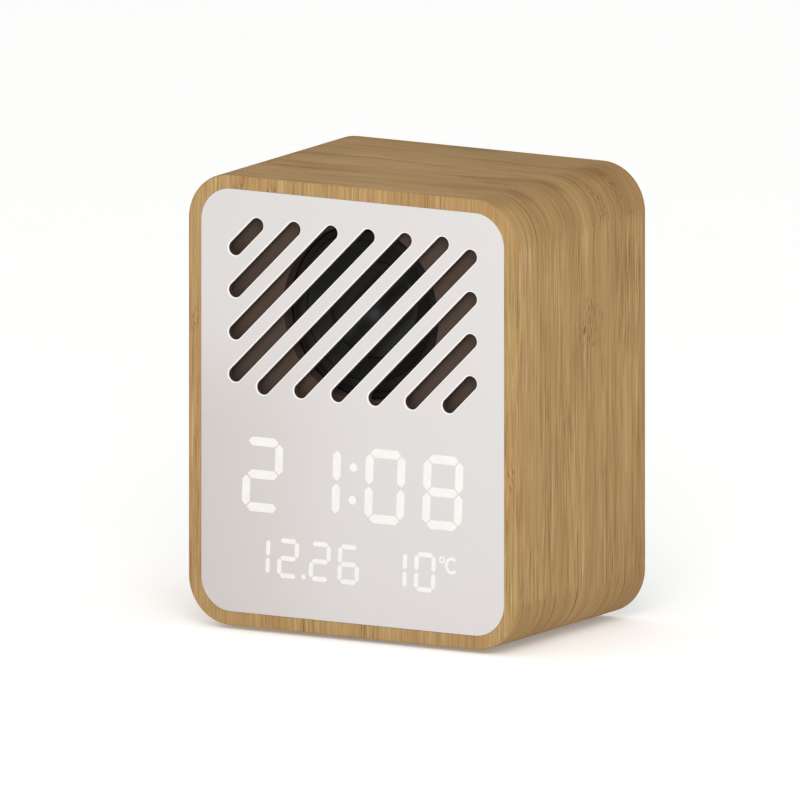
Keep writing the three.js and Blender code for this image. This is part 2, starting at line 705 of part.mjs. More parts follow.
function makeDustCap() {
  const rim = coneDepth(CAP_RADIUS) - FIT;
  const front = [];
  const back = [];
  for (let i = 0; i <= DOME_STEPS; i += 1) {
    const share = i / DOME_STEPS;
    const rise = CAP_RISE * (1 - share * share);
    front.push([CAP_RADIUS * share, rim - CONE_THICKNESS - rise]);
    back.unshift([(CAP_RADIUS - CONE_THICKNESS) * share, rim - rise]);
  }
  const profile = [...front, ...back];
  piece('speaker_dust_cap', turned(profile), CAP_PAPER);
}

function makeVoiceCoil() {
  const inner = COIL_RADIUS - COIL_WALL;
  const back = COIL_FRONT + COIL_LENGTH;
  const profile = [
    [inner, COIL_FRONT], [COIL_RADIUS, COIL_FRONT], [COIL_RADIUS, back], [inner, back],
  ];
  piece('voice_coil', turned(profile), COPPER);
}

// The corrugated disc that centres the coil.
function makeSpider() {
  const inner = COIL_RADIUS + FIT;
  const outer = BASKET_SEAT_RADIUS - BASKET_WALL - SPIDER_CLEARANCE;
  const middle = BASKET_BACK - BASKET_WALL - SPIDER_THICKNESS - SPIDER_WAVE_HEIGHT - 2 * FIT;
  const steps = SPIDER_WAVES * 4;
  const front = [];
  const back = [];
  for (let i = 0; i <= steps; i += 1) {
    const radius = inner + (outer - inner) * (i / steps);
    const wave = SPIDER_WAVE_HEIGHT * Math.sin(i * Math.PI / 2);
    front.push([radius, middle + wave]);
    back.unshift([radius, middle + wave + SPIDER_THICKNESS]);
  }
  piece('speaker_spider', turned([...front, ...back]), SPIDER_CLOTH);
}

function makeMotor() {
  const bore = COIL_RADIUS + COIL_GAP;
  const plateFront = BASKET_BACK + FIT;
  const plateBack = plateFront + PLATE_THICKNESS;
  const plate = [
    [bore, plateFront], [PLATE_RADIUS, plateFront],
    [PLATE_RADIUS, plateBack], [bore, plateBack],
  ];
  piece('top_plate', turned(plate), STEEL);
  const magnet = [
    [MAGNET_BORE, MAGNET_FRONT], [MAGNET_RADIUS, MAGNET_FRONT],
    [MAGNET_RADIUS, MAGNET_BACK], [MAGNET_BORE, MAGNET_BACK],
  ];
  piece('magnet', turned(magnet), FERRITE);
  const yokeFront = MAGNET_BACK + FIT;
  const yokeBack = yokeFront + PLATE_THICKNESS;
  const yoke = [
    [0, plateFront], [POLE_RADIUS, plateFront], [POLE_RADIUS, yokeFront],
    [PLATE_RADIUS, yokeFront], [PLATE_RADIUS, yokeBack], [0, yokeBack],
  ];
  piece('yoke', turned(yoke), STEEL);
}

const terminalDepth = BASKET_BACK - TERMINAL.setback;
const terminalTop = SPEAKER_HEIGHT - BASKET_SEAT_RADIUS - TERMINAL.drop;

function makeTerminal() {
  const { width, thickness, length } = TERMINAL;
  const z = zAt(terminalTop - length / 2);
  let body = block(0, z, width, length, terminalDepth, terminalDepth + thickness);
  for (const side of BOTH) {
    const lugX = side * width / 4;
    const lugFront = terminalDepth + thickness - JOIN;
    const lugLength = length - 2 * LUG.inset;
    body = body.add(block(lugX, z, LUG.width, lugLength, lugFront, lugFront + LUG.rise));
  }
  piece('speaker_terminal', body, TAG_BOARD);
}

function makeSpeakerScrews() {
  speakerScrews.forEach(({ x, z }, i) => {
    const body = screw(x, z, FLANGE_BACK + FIT, -1, SMALL_SCREW);
    piece(`speaker_screw_${i + 1}`, body, DARK_STEEL);
  });
}

function makeSpeakerCable() {
  const start = terminalTop - TERMINAL.length - FIT - CABLE_RADIUS;
  const depth = terminalDepth + TERMINAL.thickness / 2;
  const route = [
    [0, depth, start], [1, depth + 4, start - 1.5], [8, depth + 16, start - 2],
    [13, BOARD_FRONT - 7, start - 0.5], [14, BOARD_FRONT - 2 * FIT, start],
  ];
  piece('speaker_cable', cable(route), RED_CABLE);
}

// ---------------------------------------------------------------- rear cover and controls

const boardHoles = BOTH.flatMap((sideX) => [BOARD_TOP, BOARD_BOTTOM].map((edge) => ({
  x: sideX * (BOARD_WIDTH / 2 - BOARD_HOLE_INSET),
  z: zAt(edge - Math.sign(edge) * BOARD_HOLE_INSET),
  screwed: edge === BOARD_TOP,
})));

const buttonPlaces = BUTTON_NAMES.map((name, i) => ({
  name,
  x: (i - (BUTTON_NAMES.length - 1) / 2) * BUTTON_PITCH,
  z: zAt(BUTTON_HEIGHT),
}));

function addScrewCups(cover) {
  let body = cover;
  const cupFront = COVER_FRONT - COVER_CUP_DEPTH;
  const counterbore = CASE_SCREW.head + FIT;
  const seat = COVER_BACK - CASE_SCREW.rise - FIT;
  for (const { x, z } of postPlaces) {
    body = body
      .add(bar(x, z, counterbore + COVER_CUP_WALL, cupFront, COVER_FRONT + JOIN))
      .subtract(bar(x, z, counterbore, seat, COVER_BACK + CUT))
      .subtract(bar(x, z, CASE_SCREW.shank + FIT, cupFront - CUT, seat + CUT, SCREW_STEPS));
  }
  return body;
}

function addBoardBosses(cover) {
  let body = cover;
  const hole = SMALL_SCREW.shank + FIT;
  const bossFront = BOARD_BACK + FIT;
  for (const { x, z, screwed } of boardHoles) {
    body = body.add(bar(x, z, BOSS_RADIUS, bossFront, COVER_FRONT + JOIN, SCREW_STEPS));
    if (screwed) {
      body = body.subtract(bar(x, z, hole, bossFront - CUT, COVER_FRONT - CUT, SCREW_STEPS));
    } else {
      body = body.add(bar(x, z, SMALL_SCREW.shank, BOARD_FRONT, bossFront + JOIN, SCREW_STEPS));
    }
  }
  return body;
}

const sliderSlot = {
  width: SLIDER_KNOB.width + SLIDER_TRAVEL + 2 * FIT,
  height: SLIDER_KNOB.height + 2 * FIT,
};

function makeRearCover() {
  const [low, high] = [COVER_FRONT - CUT, COVER_BACK + CUT];
  let body = slab(openingOutline(0), COVER_FRONT, COVER_BACK);
  body = addScrewCups(body);
  body = addBoardBosses(body);
  for (const { x, z } of buttonPlaces) {
    body = body.subtract(bar(x, z, BUTTON_RADIUS + FIT, low, high));
  }
  const { width, height } = PLUG_OPENING;
  const plug = roundEnded(0, zAt(SOCKET_HEIGHT), width, height);
  body = body
    .subtract(slab(plug, low, high))
    .subtract(block(SLIDER_X, zAt(SLIDER_HEIGHT), sliderSlot.width, sliderSlot.height, low, high));
  for (let i = 0; i < VENT.count; i += 1) {
    const x = SENSOR.x + (i - (VENT.count - 1) / 2) * VENT.pitch;
    const vent = roundEnded(x, zAt(SENSOR.z), VENT.width, VENT.height);
    body = body.subtract(slab(vent, low, high));
  }
  piece('rear_cover', body, COVER_PLASTIC);
}

function makeRearScrews() {
  const seat = COVER_BACK - CASE_SCREW.rise;
  postPlaces.forEach(({ x, z }, i) => {
    piece(`rear_screw_${i + 1}`, screw(x, z, seat, -1, CASE_SCREW), DARK_STEEL);
  });
}

function makeButtons() {
  const switchFront = BOARD_BACK + FIT;
  const switchBack = switchFront + SWITCH_HEIGHT;
  const flangeBack = COVER_FRONT - FIT;
  const flangeFront = flangeBack - BUTTON_FLANGE_THICKNESS;
  const plungerBack = switchBack + PLUNGER_PROUD;
  const plungerFront = plungerBack - PLUNGER_LENGTH;
  for (const { name, x, z } of buttonPlaces) {
    const boreFront = plungerFront - BUTTON_TRAVEL - FIT;
    const switchBody = block(x, z, SWITCH_SIZE, SWITCH_SIZE, switchFront, switchBack)
      .subtract(bar(x, z, PLUNGER_RADIUS + FIT, boreFront, switchBack + CUT));
    piece(`${name}_switch`, switchBody, BLACK_PLASTIC);
    const plunger = bar(x, z, PLUNGER_RADIUS, plungerFront, plungerBack);
    piece(`${name}_plunger`, plunger, PLUNGER_PLASTIC);
    const button = bar(x, z, BUTTON_RADIUS, flangeBack - JOIN, COVER_BACK + BUTTON_PROUD)
      .add(bar(x, z, BUTTON_FLANGE, flangeFront, flangeBack))
      .add(bar(x, z, PLUNGER_RADIUS, plungerBack + FIT, flangeFront + JOIN));
    piece(`${name}_button`, button, WHITE_PLASTIC);
  }
}

function makePowerSwitch() {
  const z = zAt(SLIDER_HEIGHT);
  const bodyFront = BOARD_BACK + FIT;
  const bodyBack = bodyFront + SLIDER_BODY.depth;
  const channel = SLIDER_STEM + SLIDER_TRAVEL + 2 * FIT;
  const channelFront = bodyFront + SLIDER_BODY.floor;
  const body = block(SLIDER_X, z, SLIDER_BODY.width, SLIDER_BODY.height, bodyFront, bodyBack)
    .subtract(block(SLIDER_X, z, channel, SLIDER_STEM + 2 * FIT, channelFront, bodyBack + CUT));
  piece('power_switch', body, STEEL);
  const x = SLIDER_X - SLIDER_TRAVEL / 2;
  const apronBack = COVER_FRONT - FIT;
  const apronFront = apronBack - SLIDER_APRON.thickness;
  const apronWidth = SLIDER_KNOB.width + 2 * (SLIDER_TRAVEL + SLIDER_APRON.overlap);
  const apronHeight = SLIDER_KNOB.height + 2 * SLIDER_APRON.overlap;
  const knob = block(x, z, SLIDER_KNOB.width, SLIDER_KNOB.height, apronBack - JOIN,
    COVER_BACK + BUTTON_PROUD)
    .add(block(x, z, apronWidth, apronHeight, apronFront, apronBack))
    .add(block(x, z, SLIDER_STEM, SLIDER_STEM, channelFront + FIT, apronFront + JOIN));
  piece('power_slider', knob, WHITE_PLASTIC);
}

// ---------------------------------------------------------------- main board and power

function boardBump({ x, z, width, height, rise }) {
  return block(x, zAt(z), width, height, BOARD_FRONT - rise, BOARD_FRONT + JOIN);
}

function makeMainBoard() {
  const height = BOARD_TOP - BOARD_BOTTOM;
  const z = zAt((BOARD_TOP + BOARD_BOTTOM) / 2);
  const outline = roundedRectangle(0, z, BOARD_WIDTH, height, BOARD_CORNER);
  let body = slab(outline, BOARD_FRONT, BOARD_BACK)
    .add(boardBump({ x: 0, z: RIBBON_BOARD_HEIGHT, ...RIBBON_SOCKET }));
  for (const chip of CHIPS) body = body.add(boardBump(chip));
  for (const hole of boardHoles) {
    body = body.subtract(bar(hole.x, hole.z, SMALL_SCREW.shank + FIT, BOARD_FRONT - CUT,
      BOARD_BACK + CUT, SCREW_STEPS));
  }
  piece('main_board', body, BOARD_GREEN);
}

function makeBoardScrews() {
  boardHoles.filter((hole) => hole.screwed).forEach(({ x, z }, i) => {
    piece(`board_screw_${i + 1}`, screw(x, z, BOARD_FRONT - FIT, 1, SMALL_SCREW), STEEL);
  });
}

function makeRadioShield() {
  const { x, z, width, height, rise, wall } = SHIELD;
  const back = BOARD_FRONT - FIT;
  const body = block(x, zAt(z), width, height, back - rise, back)
    .subtract(block(x, zAt(z), width - 2 * wall, height - 2 * wall, back - rise + wall,
      back + CUT));
  piece('radio_shield', body, STEEL);
}

function makeCoinCell() {
  const { x, z, radius, thickness, wall } = COIN_CELL;
  const back = BOARD_FRONT - FIT;
  const floor = back - wall;
  const front = floor - FIT - thickness;
  const holder = bar(x, zAt(z), radius + FIT + wall, front, back)
    .subtract(bar(x, zAt(z), radius + FIT, front - CUT, floor));
  piece('coin_cell_holder', holder, BLACK_PLASTIC);
  piece('coin_cell', bar(x, zAt(z), radius, front, floor - FIT), STEEL);
}

function makeDisplayCable() {
  const start = DISPLAY_BOARD_BACK + RIBBON_SOCKET.rise + FIT;
  const end = BOARD_FRONT - RIBBON_SOCKET.rise - FIT;
  const { width, thickness, straight, sag } = RIBBON;
  const [from, to] = [zAt(RIBBON_DISPLAY_HEIGHT), zAt(RIBBON_BOARD_HEIGHT)];
  const points = [
    [start, from], [start + straight, from], [(start + end) / 2, (from + to) / 2 - sag],
    [end - straight, to], [end, to],
  ].map(([depth, z]) => new THREE.Vector3(0, yAt(depth), z));
  const section = new THREE.Shape();
  section.moveTo(-width / 2, -thickness / 2);
  section.lineTo(width / 2, -thickness / 2);
  section.lineTo(width / 2, thickness / 2);
  section.lineTo(-width / 2, thickness / 2);
  const path = new THREE.CatmullRomCurve3(points);
  const ribbon = new THREE.ExtrudeGeometry(section, { steps: RIBBON_STEPS, extrudePath: path });
  piece('display_cable', solid(ribbon), RIBBON_FILM);
}

function makeChargingSocket() {
  const z = zAt(SOCKET_HEIGHT);
  const { width, height } = SOCKET_OUTSIDE;
  const [front, back] = [BOARD_BACK + FIT, COVER_FRONT - FIT];
  const floor = back - SOCKET_DEPTH;
  const outside = roundEnded(0, z, width, height);
  const inside = roundEnded(0, z, width - 2 * SOCKET_WALL, height - 2 * SOCKET_WALL);
  const body = slab(outside, front, back)
    .subtract(slab(inside, floor, back + CUT))
    .add(block(0, z, TONGUE.width, TONGUE.height, floor - JOIN, floor + TONGUE.length));
  piece('charging_socket', body, STEEL);
}

function makePowerCell() {
  const trayBottom = FOOT_HEIGHT + WALL_TOP + SHOULDER + FIT;
  const axisZ = trayBottom + TRAY_WALL + FIT + CELL_RADIUS;
  const half = CELL_RADIUS + FIT + TRAY_WALL;
  const trayHeight = axisZ + TRAY_LIP - trayBottom;
  const trayLength = CELL_LENGTH + 2 * (FIT + TRAY_WALL);
  const lying = (radius, length) => {
    const geometry = new THREE.CylinderGeometry(radius, radius, length, ROUND_STEPS);
    geometry.rotateZ(Math.PI / 2);
    geometry.translate(0, yAt(CELL_DEPTH), axisZ);
    return solid(geometry);
  };
  const tray = block(0, trayBottom + trayHeight / 2, trayLength, trayHeight,
    CELL_DEPTH - half, CELL_DEPTH + half)
    .subtract(lying(CELL_RADIUS + FIT, CELL_LENGTH + 2 * FIT));
  piece('cell_tray', tray, BLACK_PLASTIC);
  piece('power_cell', lying(CELL_RADIUS, CELL_LENGTH), CELL_WRAP);
  const height = axisZ - MIDDLE;
  const startX = trayLength / 2 + CABLE_RADIUS + FIT;
  const endHeight = BOARD_BOTTOM + CELL_CABLE_RISE;
  const route = [
    [startX, CELL_DEPTH, height], [startX + 2, CELL_DEPTH + 3, height + 0.8],
    [startX + 2, CELL_DEPTH + 10, (2 * height + endHeight) / 3],
    [startX - 2, BOARD_FRONT - 6, endHeight - 0.5],
    [startX - 3, BOARD_FRONT - 3 * FIT, endHeight],
  ];
  piece('cell_cable', cable(route), BLACK_CABLE);
}

function makeTemperatureSensor() {
  const { x, z, radius, length } = SENSOR;
  const front = BOARD_BACK + FIT;
  const body = block(x, zAt(z), 2 * radius, radius, front, front + length)
    .add(bar(x, zAt(z), radius, front + length - radius, front + length + radius, SCREW_STEPS));
  piece('temperature_sensor', body, SENSOR_RESIN);
}

makeCase();
makeFeet();
makePanel();
makeChassis();
makeDiffuser();
makeReflector();
makeDisplayBoard();
makeDisplayScrews();
makeDisplayCable();
makeGasket();
makeBasket();
makeSurround();
makeCone();
makeDustCap();
makeVoiceCoil();
makeSpider();
makeMotor();
makeTerminal();
makeSpeakerScrews();
makeSpeakerCable();
makeRearCover();
makeRearScrews();
makeButtons();
makePowerSwitch();
makeMainBoard();
makeBoardScrews();
makeRadioShield();
makeCoinCell();
makeChargingSocket();
makePowerCell();
makeTemperatureSensor();

export default group;
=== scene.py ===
"""Looks of the bamboo alarm clock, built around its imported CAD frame.

Metres, in the CAD frame: X to the right seen from the front, Y from front to back, Z up.
Each visible CAD node is replaced by a finer piece made here; the pieces sealed inside the
case keep their CAD shape and get a material. Sizes below are the part's own dimensions.
"""
import json
import math

import bmesh
import bpy
from mathutils import Euler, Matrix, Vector
from mathutils.geometry import tessellate_polygon


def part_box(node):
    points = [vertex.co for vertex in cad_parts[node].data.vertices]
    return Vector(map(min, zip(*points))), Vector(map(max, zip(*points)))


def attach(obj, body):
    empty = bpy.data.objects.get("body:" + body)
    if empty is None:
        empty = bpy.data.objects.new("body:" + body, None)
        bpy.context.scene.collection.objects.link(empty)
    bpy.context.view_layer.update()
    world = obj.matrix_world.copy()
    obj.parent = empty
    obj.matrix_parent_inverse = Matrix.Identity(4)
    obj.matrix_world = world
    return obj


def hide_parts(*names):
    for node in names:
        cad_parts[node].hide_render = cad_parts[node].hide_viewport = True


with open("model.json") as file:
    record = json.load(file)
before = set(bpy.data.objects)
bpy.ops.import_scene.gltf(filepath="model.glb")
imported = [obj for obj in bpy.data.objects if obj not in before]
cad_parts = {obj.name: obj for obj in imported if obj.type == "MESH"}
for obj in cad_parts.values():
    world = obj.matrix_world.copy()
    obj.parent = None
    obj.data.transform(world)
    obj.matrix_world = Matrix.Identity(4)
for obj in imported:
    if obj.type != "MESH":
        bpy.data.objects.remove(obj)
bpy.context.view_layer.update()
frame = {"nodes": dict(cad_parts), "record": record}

MM = 0.001
TINY = 1e-9

# ---- sizes from the frame

case_low, case_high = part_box("bamboo_case")
panel_low, panel_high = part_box("front_panel")
cover_low, cover_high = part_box("rear_cover")
chassis_low, chassis_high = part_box("chassis")

WIDTH = case_high.x - case_low.x
HEIGHT = case_high.z - case_low.z
MIDDLE = (case_low.z + case_high.z) / 2
FRONT = case_low.y
BACK = case_high.y
PANEL_WIDTH = panel_high.x - panel_low.x
PANEL_HEIGHT = panel_high.z - panel_low.z
PANEL_BACK = panel_high.y

# ---- sizes of the design

FIT = 0.3 * MM
CASE_CORNER = 12.7 * MM
PANEL_CORNER = 9 * MM
SHOULDER = 2 * MM
FRONT_REBATE = 9 * MM
REAR_REBATE = 3.5 * MM

SLOT_COUNT = 10
SLOT_WIDTH = 4 * MM
SLOT_PITCH = 7.98 * MM
SLOT_ANGLE = math.radians(45)
SLOT_FIELD_WIDTH = 71.5 * MM
SLOT_FIELD_HEIGHT = 43.1 * MM

SPEAKER_Z = MIDDLE + 25.8 * MM
SPEAKER_HOLE = 23.5 * MM
BAFFLE_FRONT = FRONT + 4.3 * MM
BAFFLE_BACK = FRONT + 8.7 * MM
CONE_RADIUS = 18.75 * MM
CAP_RADIUS = 12.8 * MM

DIGIT_SLANT = math.tan(math.radians(2.1))

COVER_FRONT = BACK - 3.2 * MM
COVER_BACK = BACK - 0.8 * MM
FLANGE_BACK = COVER_FRONT - FIT  # of the buttons and the slider, inside the cover
SCREW_HOLE = 1.7 * MM
HEAD_WELL = 3.1 * MM


def up(height):
    """Z of a height in millimetres from the middle of the case."""
    return MIDDLE + height * MM


def centre_of(node):
    """X and Z of the middle of a CAD node's box."""
    low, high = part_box(node)
    return (low.x + high.x) / 2, (low.z + high.z) / 2


def four(stem):
    """The names of four like CAD nodes, stem_1 to stem_4."""
    return [f"{stem}_{number}" for number in range(1, 5)]


# ---- outlines in X and Z


def arc(x, z, radius, start, end, steps):
    """Points round part of a circle, with both its ends."""
    angles = [start + (end - start) * i / steps for i in range(steps + 1)]
    return [(x + radius * math.cos(angle), z + radius * math.sin(angle)) for angle in angles]


def rounded_rectangle(width, height, radius, x=0.0, z=0.0, turn=0.0, steps=12):
    """A function that gives the outline's points, grown by a margin."""
    radius = min(radius, width / 2, height / 2)
    straights = (height - 2 * radius, width - 2 * radius) * 2
    sides = ((1, -1), (1, 1), (-1, 1), (-1, -1))
    cos = math.cos(turn)
    sin = math.sin(turn)

    def outline(grow=0.0):
        points = []
        for number, (side_x, side_z) in enumerate(sides):
            centre_x = side_x * (width / 2 - radius)
            centre_z = side_z * (height / 2 - radius)
            start = math.radians(90) * (number - 1)
            end = start + math.radians(90)
            corner = arc(centre_x, centre_z, radius + grow, start, end, steps)
            points += corner if straights[number] > TINY else corner[:-1]
        return [(x + a * cos - b * sin, z + a * sin + b * cos) for a, b in points]

    return outline


def circle(radius, x=0.0, z=0.0, steps=12):
    """A circle with four times "steps" sides."""
    return rounded_rectangle(2 * radius, 2 * radius, radius, x, z, steps=steps)


def rounded_polygon(corners, radius, steps=3):
    """A convex polygon with its corners, given counter-clockwise, rounded."""
    corners = [Vector(corner) for corner in corners]

    def outline(grow=0.0):
        points = []
        for i, corner in enumerate(corners):
            before = (corners[i - 1] - corner).normalized()
            after = (corners[(i + 1) % len(corners)] - corner).normalized()
            half = before.angle(after) / 2
            centre = corner + (before + after).normalized() * (radius / math.sin(half))
            start = math.atan2(before.x, -before.y)
            end = math.atan2(-after.x, after.y)
            while end < start:
                end += 2 * math.pi
            points += arc(centre.x, centre.y, radius + grow, start, end, steps)
        return points

    return outline


# ---- mesh tools

SUPPORT = 0.06 * MM  # a narrow strip beside each bevel keeps the flat face's shading flat
SHARP_ANGLE = math.radians(40)


def quarter(steps=5):
    """(inset, drop) shares round a quarter circle, from a flat face to the wall below it."""
    angles = [math.radians(90) * i / steps for i in range(steps + 1)]
    return [(1 - math.sin(angle), 1 - math.cos(angle)) for angle in angles]


def bevelled_edge(front, back, bevel_front, bevel_back):
    """The (inset, y) points of an edge from the front face, round the wall, to the back."""
    points = [(bevel_front + SUPPORT, front)]
    for inset, drop in quarter(4):
        points.append((bevel_front * inset, front + bevel_front * drop))
    points.append((0.0, front + bevel_front + SUPPORT))
    points.append((0.0, back - bevel_back - SUPPORT))
    for inset, drop in reversed(quarter(4)):
        points.append((bevel_back * inset, back - bevel_back * drop))
    points.append((bevel_back + SUPPORT, back))
    return points


def ring_of(bm, points, y):
    return [bm.verts.new((x, y, z)) for x, z in points]


def bridge(bm, rings, closed=False):
    """Faces between each ring and the next. A ring of one point is a pole."""
    following = rings[1:] + (rings[:1] if closed else [])
    for first, second in zip(rings, following):
        count = max(len(first), len(second))
        for i in range(count):
            j = (i + 1) % count
            corners = [
                first[i % len(first)],
                first[j % len(first)],
                second[j % len(second)],
                second[i % len(second)],
            ]
            corners = list(dict.fromkeys(corners))
            if len(corners) > 2:
                bm.faces.new(corners)


def cap(bm, rings):
    """Fills a flat face between an outline and its holes."""
    flat = [vertex for ring in rings for vertex in ring]
    for triangle in tessellate_polygon([[v.co for v in ring] for ring in rings]):
        bm.faces.new([flat[i] for i in triangle])


def add_plate(bm, outer, holes, front, back, bevel_front, bevel_back, hole_bevel=None):
    """A plate between two depths, with rounded edges on its outline and its holes."""
    hole_bevel = bevel_front if hole_bevel is None else hole_bevel
    fronts = []
    backs = []
    edges = [(outer, -1, bevelled_edge(front, back, bevel_front, bevel_back))]
    for hole in holes:
        edges.append((hole, 1, bevelled_edge(front, back, hole_bevel, bevel_back)))
    for shape, side, edge in edges:
        rings = [ring_of(bm, shape(side * inset), y) for inset, y in edge]
        bridge(bm, rings)
        fronts.append(rings[0])
        backs.append(rings[-1])
    cap(bm, fronts)
    cap(bm, backs)


def soften(profile, radius, closed=True, steps=3):
    """Rounds the corners of a profile of (radius, y) points."""
    points = [Vector(point) for point in profile]
    count = len(points)
    made = []
    for i, corner in enumerate(points):
        at_end = not closed and i in (0, count - 1)
        if at_end:
            made.append(corner)
            continue
        before = points[i - 1] - corner
        after = points[(i + 1) % count] - corner
        cut = min(radius, 0.4 * before.length, 0.4 * after.length)
        start = corner + before.normalized() * cut
        end = corner + after.normalized() * cut
        support = 0.1 * cut
        made.append(start + before.normalized() * support)
        for k in range(steps + 1):
            t = k / steps
            made.append(start * (1 - t) ** 2 + corner * 2 * t * (1 - t) + end * t * t)
        made.append(end + after.normalized() * support)
    return [tuple(point) for point in made]


def add_turned(bm, profile, x, z, steps=64, closed=True, upright=False):
    """Turns a (radius, along) profile about a line along Y, or along Z if upright."""
    rings = []
    for radius, along in profile:
        count = 1 if radius < TINY else steps
        ring = []
        for i in range(count):
            angle = 2 * math.pi * i / steps
            across = radius * math.cos(angle)
            over = radius * math.sin(angle)
            place = (x + across, z + over, along) if upright else (x + across, along, z + over)
            ring.append(bm.verts.new(place))
        rings.append(ring)
    bridge(bm, rings, closed)


def add_object(name, data):
    """Puts a mesh, a camera or a light into the scene."""
    made = bpy.data.objects.new(name, data)
    bpy.context.scene.collection.objects.link(made)
    return made


def finish_piece(name, bm, material, replaces=(), body="clock"):
    """Turns a bmesh into a piece that rides on a body."""
    bmesh.ops.recalc_face_normals(bm, faces=bm.faces)
    for face in bm.faces:
        face.smooth = True
    for edge in bm.edges:
        if len(edge.link_faces) == 2 and edge.calc_face_angle(0) > SHARP_ANGLE:
            edge.smooth = False
    mesh = bpy.data.meshes.new(name)
    bm.to_mesh(mesh)
    bm.free()
    materials = material if isinstance(material, (list, tuple)) else [material]
    for item in materials:
        mesh.materials.append(item)
    piece = add_object(name, mesh)
    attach(piece, body)
    if replaces:
        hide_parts(*replaces)


# ---- material tools


def rgb(red, green, blue):
    """A colour given as it is seen, from 0 to 255, turned into linear light."""

    def linear(value):
        share = value / 255
        return share / 12.92 if share <= 0.04045 else ((share + 0.055) / 1.055) ** 2.4

    return (linear(red), linear(green), linear(blue), 1.0)


def shade(colour, factor):
    """A darker or lighter copy of a colour."""
    return (*(min(1.0, part * factor) for part in colour[:3]), 1.0)


class Signal:
    """A number that a node gives. Arithmetic on it adds Math nodes."""

    def __init__(self, shader, socket):
        self.shader = shader
        self.socket = socket

    def __add__(self, other):
        return self.shader.math("ADD", self, other)

    def __sub__(self, other):
        return self.shader.math("SUBTRACT", self, other)

    def __mul__(self, other):
        return self.shader.math("MULTIPLY", self, other)


class Shader:
    """A material being built: a Principled surface and short ways to add nodes."""

    def __init__(self, name, roughness, metallic=0.0, specular=0.5):
        self.material = bpy.data.materials.new(name)
        self.material.use_nodes = True
        self.tree = self.material.node_tree
        self.tree.nodes.clear()
        output = self.tree.nodes.new("ShaderNodeOutputMaterial")
        self.surface = self.tree.nodes.new("ShaderNodeBsdfPrincipled")
        self.tree.links.new(self.surface.outputs[0], output.inputs[0])
        self.surface.inputs["Roughness"].default_value = roughness
        self.surface.inputs["Metallic"].default_value = metallic
        self.surface.inputs["Specular IOR Level"].default_value = specular

    def put(self, socket, value):
        """Links a signal or an output to a socket, or sets the socket's own value."""
        if isinstance(value, Signal):
            value = value.socket
        if isinstance(value, bpy.types.NodeSocket):
            self.tree.links.new(value, socket)
        else:
            socket.default_value = value

    def add(self, kind, inputs, output=0, **settings):
        """A new node's output."""
        made = self.tree.nodes.new(kind)
        for key, value in settings.items():
            setattr(made, key, value)
        for key, value in inputs.items():
            self.put(made.inputs[key], value)
        return made.outputs[output]

    def math(self, operation, first, second):
        made = self.add("ShaderNodeMath", {0: first, 1: second}, operation=operation)
        return Signal(self, made)

    def vector(self, operation, first, second, output=0):
        inputs = {0: first, 1: second}
        return self.add("ShaderNodeVectorMath", inputs, output, operation=operation)

    def stretch(self, place, factors):
        return self.vector("MULTIPLY", place, factors)

    def split(self, place):
        """The X, Y and Z of a vector."""
        made = self.add("ShaderNodeSeparateXYZ", {0: place}).node
        return [Signal(self, output) for output in made.outputs]

    def noise(self, vector, detail=2.0, scale=1.0, distortion=0.0):
        inputs = {"Vector": vector, "Scale": scale, "Detail": detail, "Distortion": distortion}
        return Signal(self, self.add("ShaderNodeTexNoise", inputs, "Fac"))

    def smooth(self, value, low, high):
        """0 below low, 1 above high, and an even curve between them."""
        inputs = {"Value": value, "From Min": low, "From Max": high}
        made = self.add("ShaderNodeMapRange", inputs, interpolation_type="SMOOTHSTEP")
        return Signal(self, made)

    def ramp(self, value, stops):
        """Colours at places from 0 to 1."""
        made = self.tree.nodes.new("ShaderNodeValToRGB")
        self.put(made.inputs["Fac"], value)
        elements = made.color_ramp.elements
        while len(elements) < len(stops):
            elements.new(1.0)
        for element, (place, colour) in zip(elements, stops):
            element.position = place
            element.color = colour
        return made.outputs[0]

    def mix(self, share, first, second):
        """The first colour where share is 0, and the second where it is 1."""
        return self.add("ShaderNodeMix", {0: share, 6: first, 7: second}, 2, data_type="RGBA")

    def object_mm(self):
        """Object coordinates in millimetres."""
        place = self.add("ShaderNodeTexCoord", {}, "Object")
        return self.stretch(place, (1000, 1000, 1000))

    def bump(self, height, distance):
        normal = self.add("ShaderNodeBump", {"Height": height, "Distance": distance})
        self.put(self.surface.inputs["Normal"], normal)

    def colour(self, value):
        self.put(self.surface.inputs["Base Color"], value)

    def roughness(self, value):
        self.put(self.surface.inputs["Roughness"], value)

    def glow(self, colour, strength):
        self.put(self.surface.inputs["Emission Color"], colour)
        self.put(self.surface.inputs["Emission Strength"], strength)


def moulded(name, colour, roughness=0.5, grain=0.6, depth=0.02, spread=0.05, specular=0.4):
    """Moulded plastic or rubber: a fine skin texture and faint clouds of colour."""
    shader = Shader(name, roughness, specular=specular)
    place = shader.object_mm()
    clouds = shader.noise(place, detail=3, scale=0.09)
    skin = shader.noise(place, detail=2, scale=1 / grain)
    share = shader.smooth(clouds, 0.3, 0.7)
    shader.colour(shader.mix(share, shade(colour, 1 - spread), shade(colour, 1 + spread)))
    shader.roughness(skin * 0.16 + (roughness - 0.08))
    shader.bump(skin, depth * MM)
    return shader.material


def metal(name, colour, roughness=0.3, direction=(0.3, 6.0, 6.0)):
    """Plated or drawn metal: fine lines along one direction and a mottled gloss."""
    shader = Shader(name, roughness, metallic=1.0)
    place = shader.object_mm()
    lines = shader.noise(shader.stretch(place, direction), detail=3)
    mottle = shader.noise(place, detail=3, scale=0.35)
    shader.colour(shader.mix(shader.smooth(mottle, 0.3, 0.75), shade(colour, 0.8), colour))
    shader.roughness(lines * 0.24 + (roughness - 0.12))
    shader.bump(lines, 0.004 * MM)
    return shader.material


# ---- bamboo

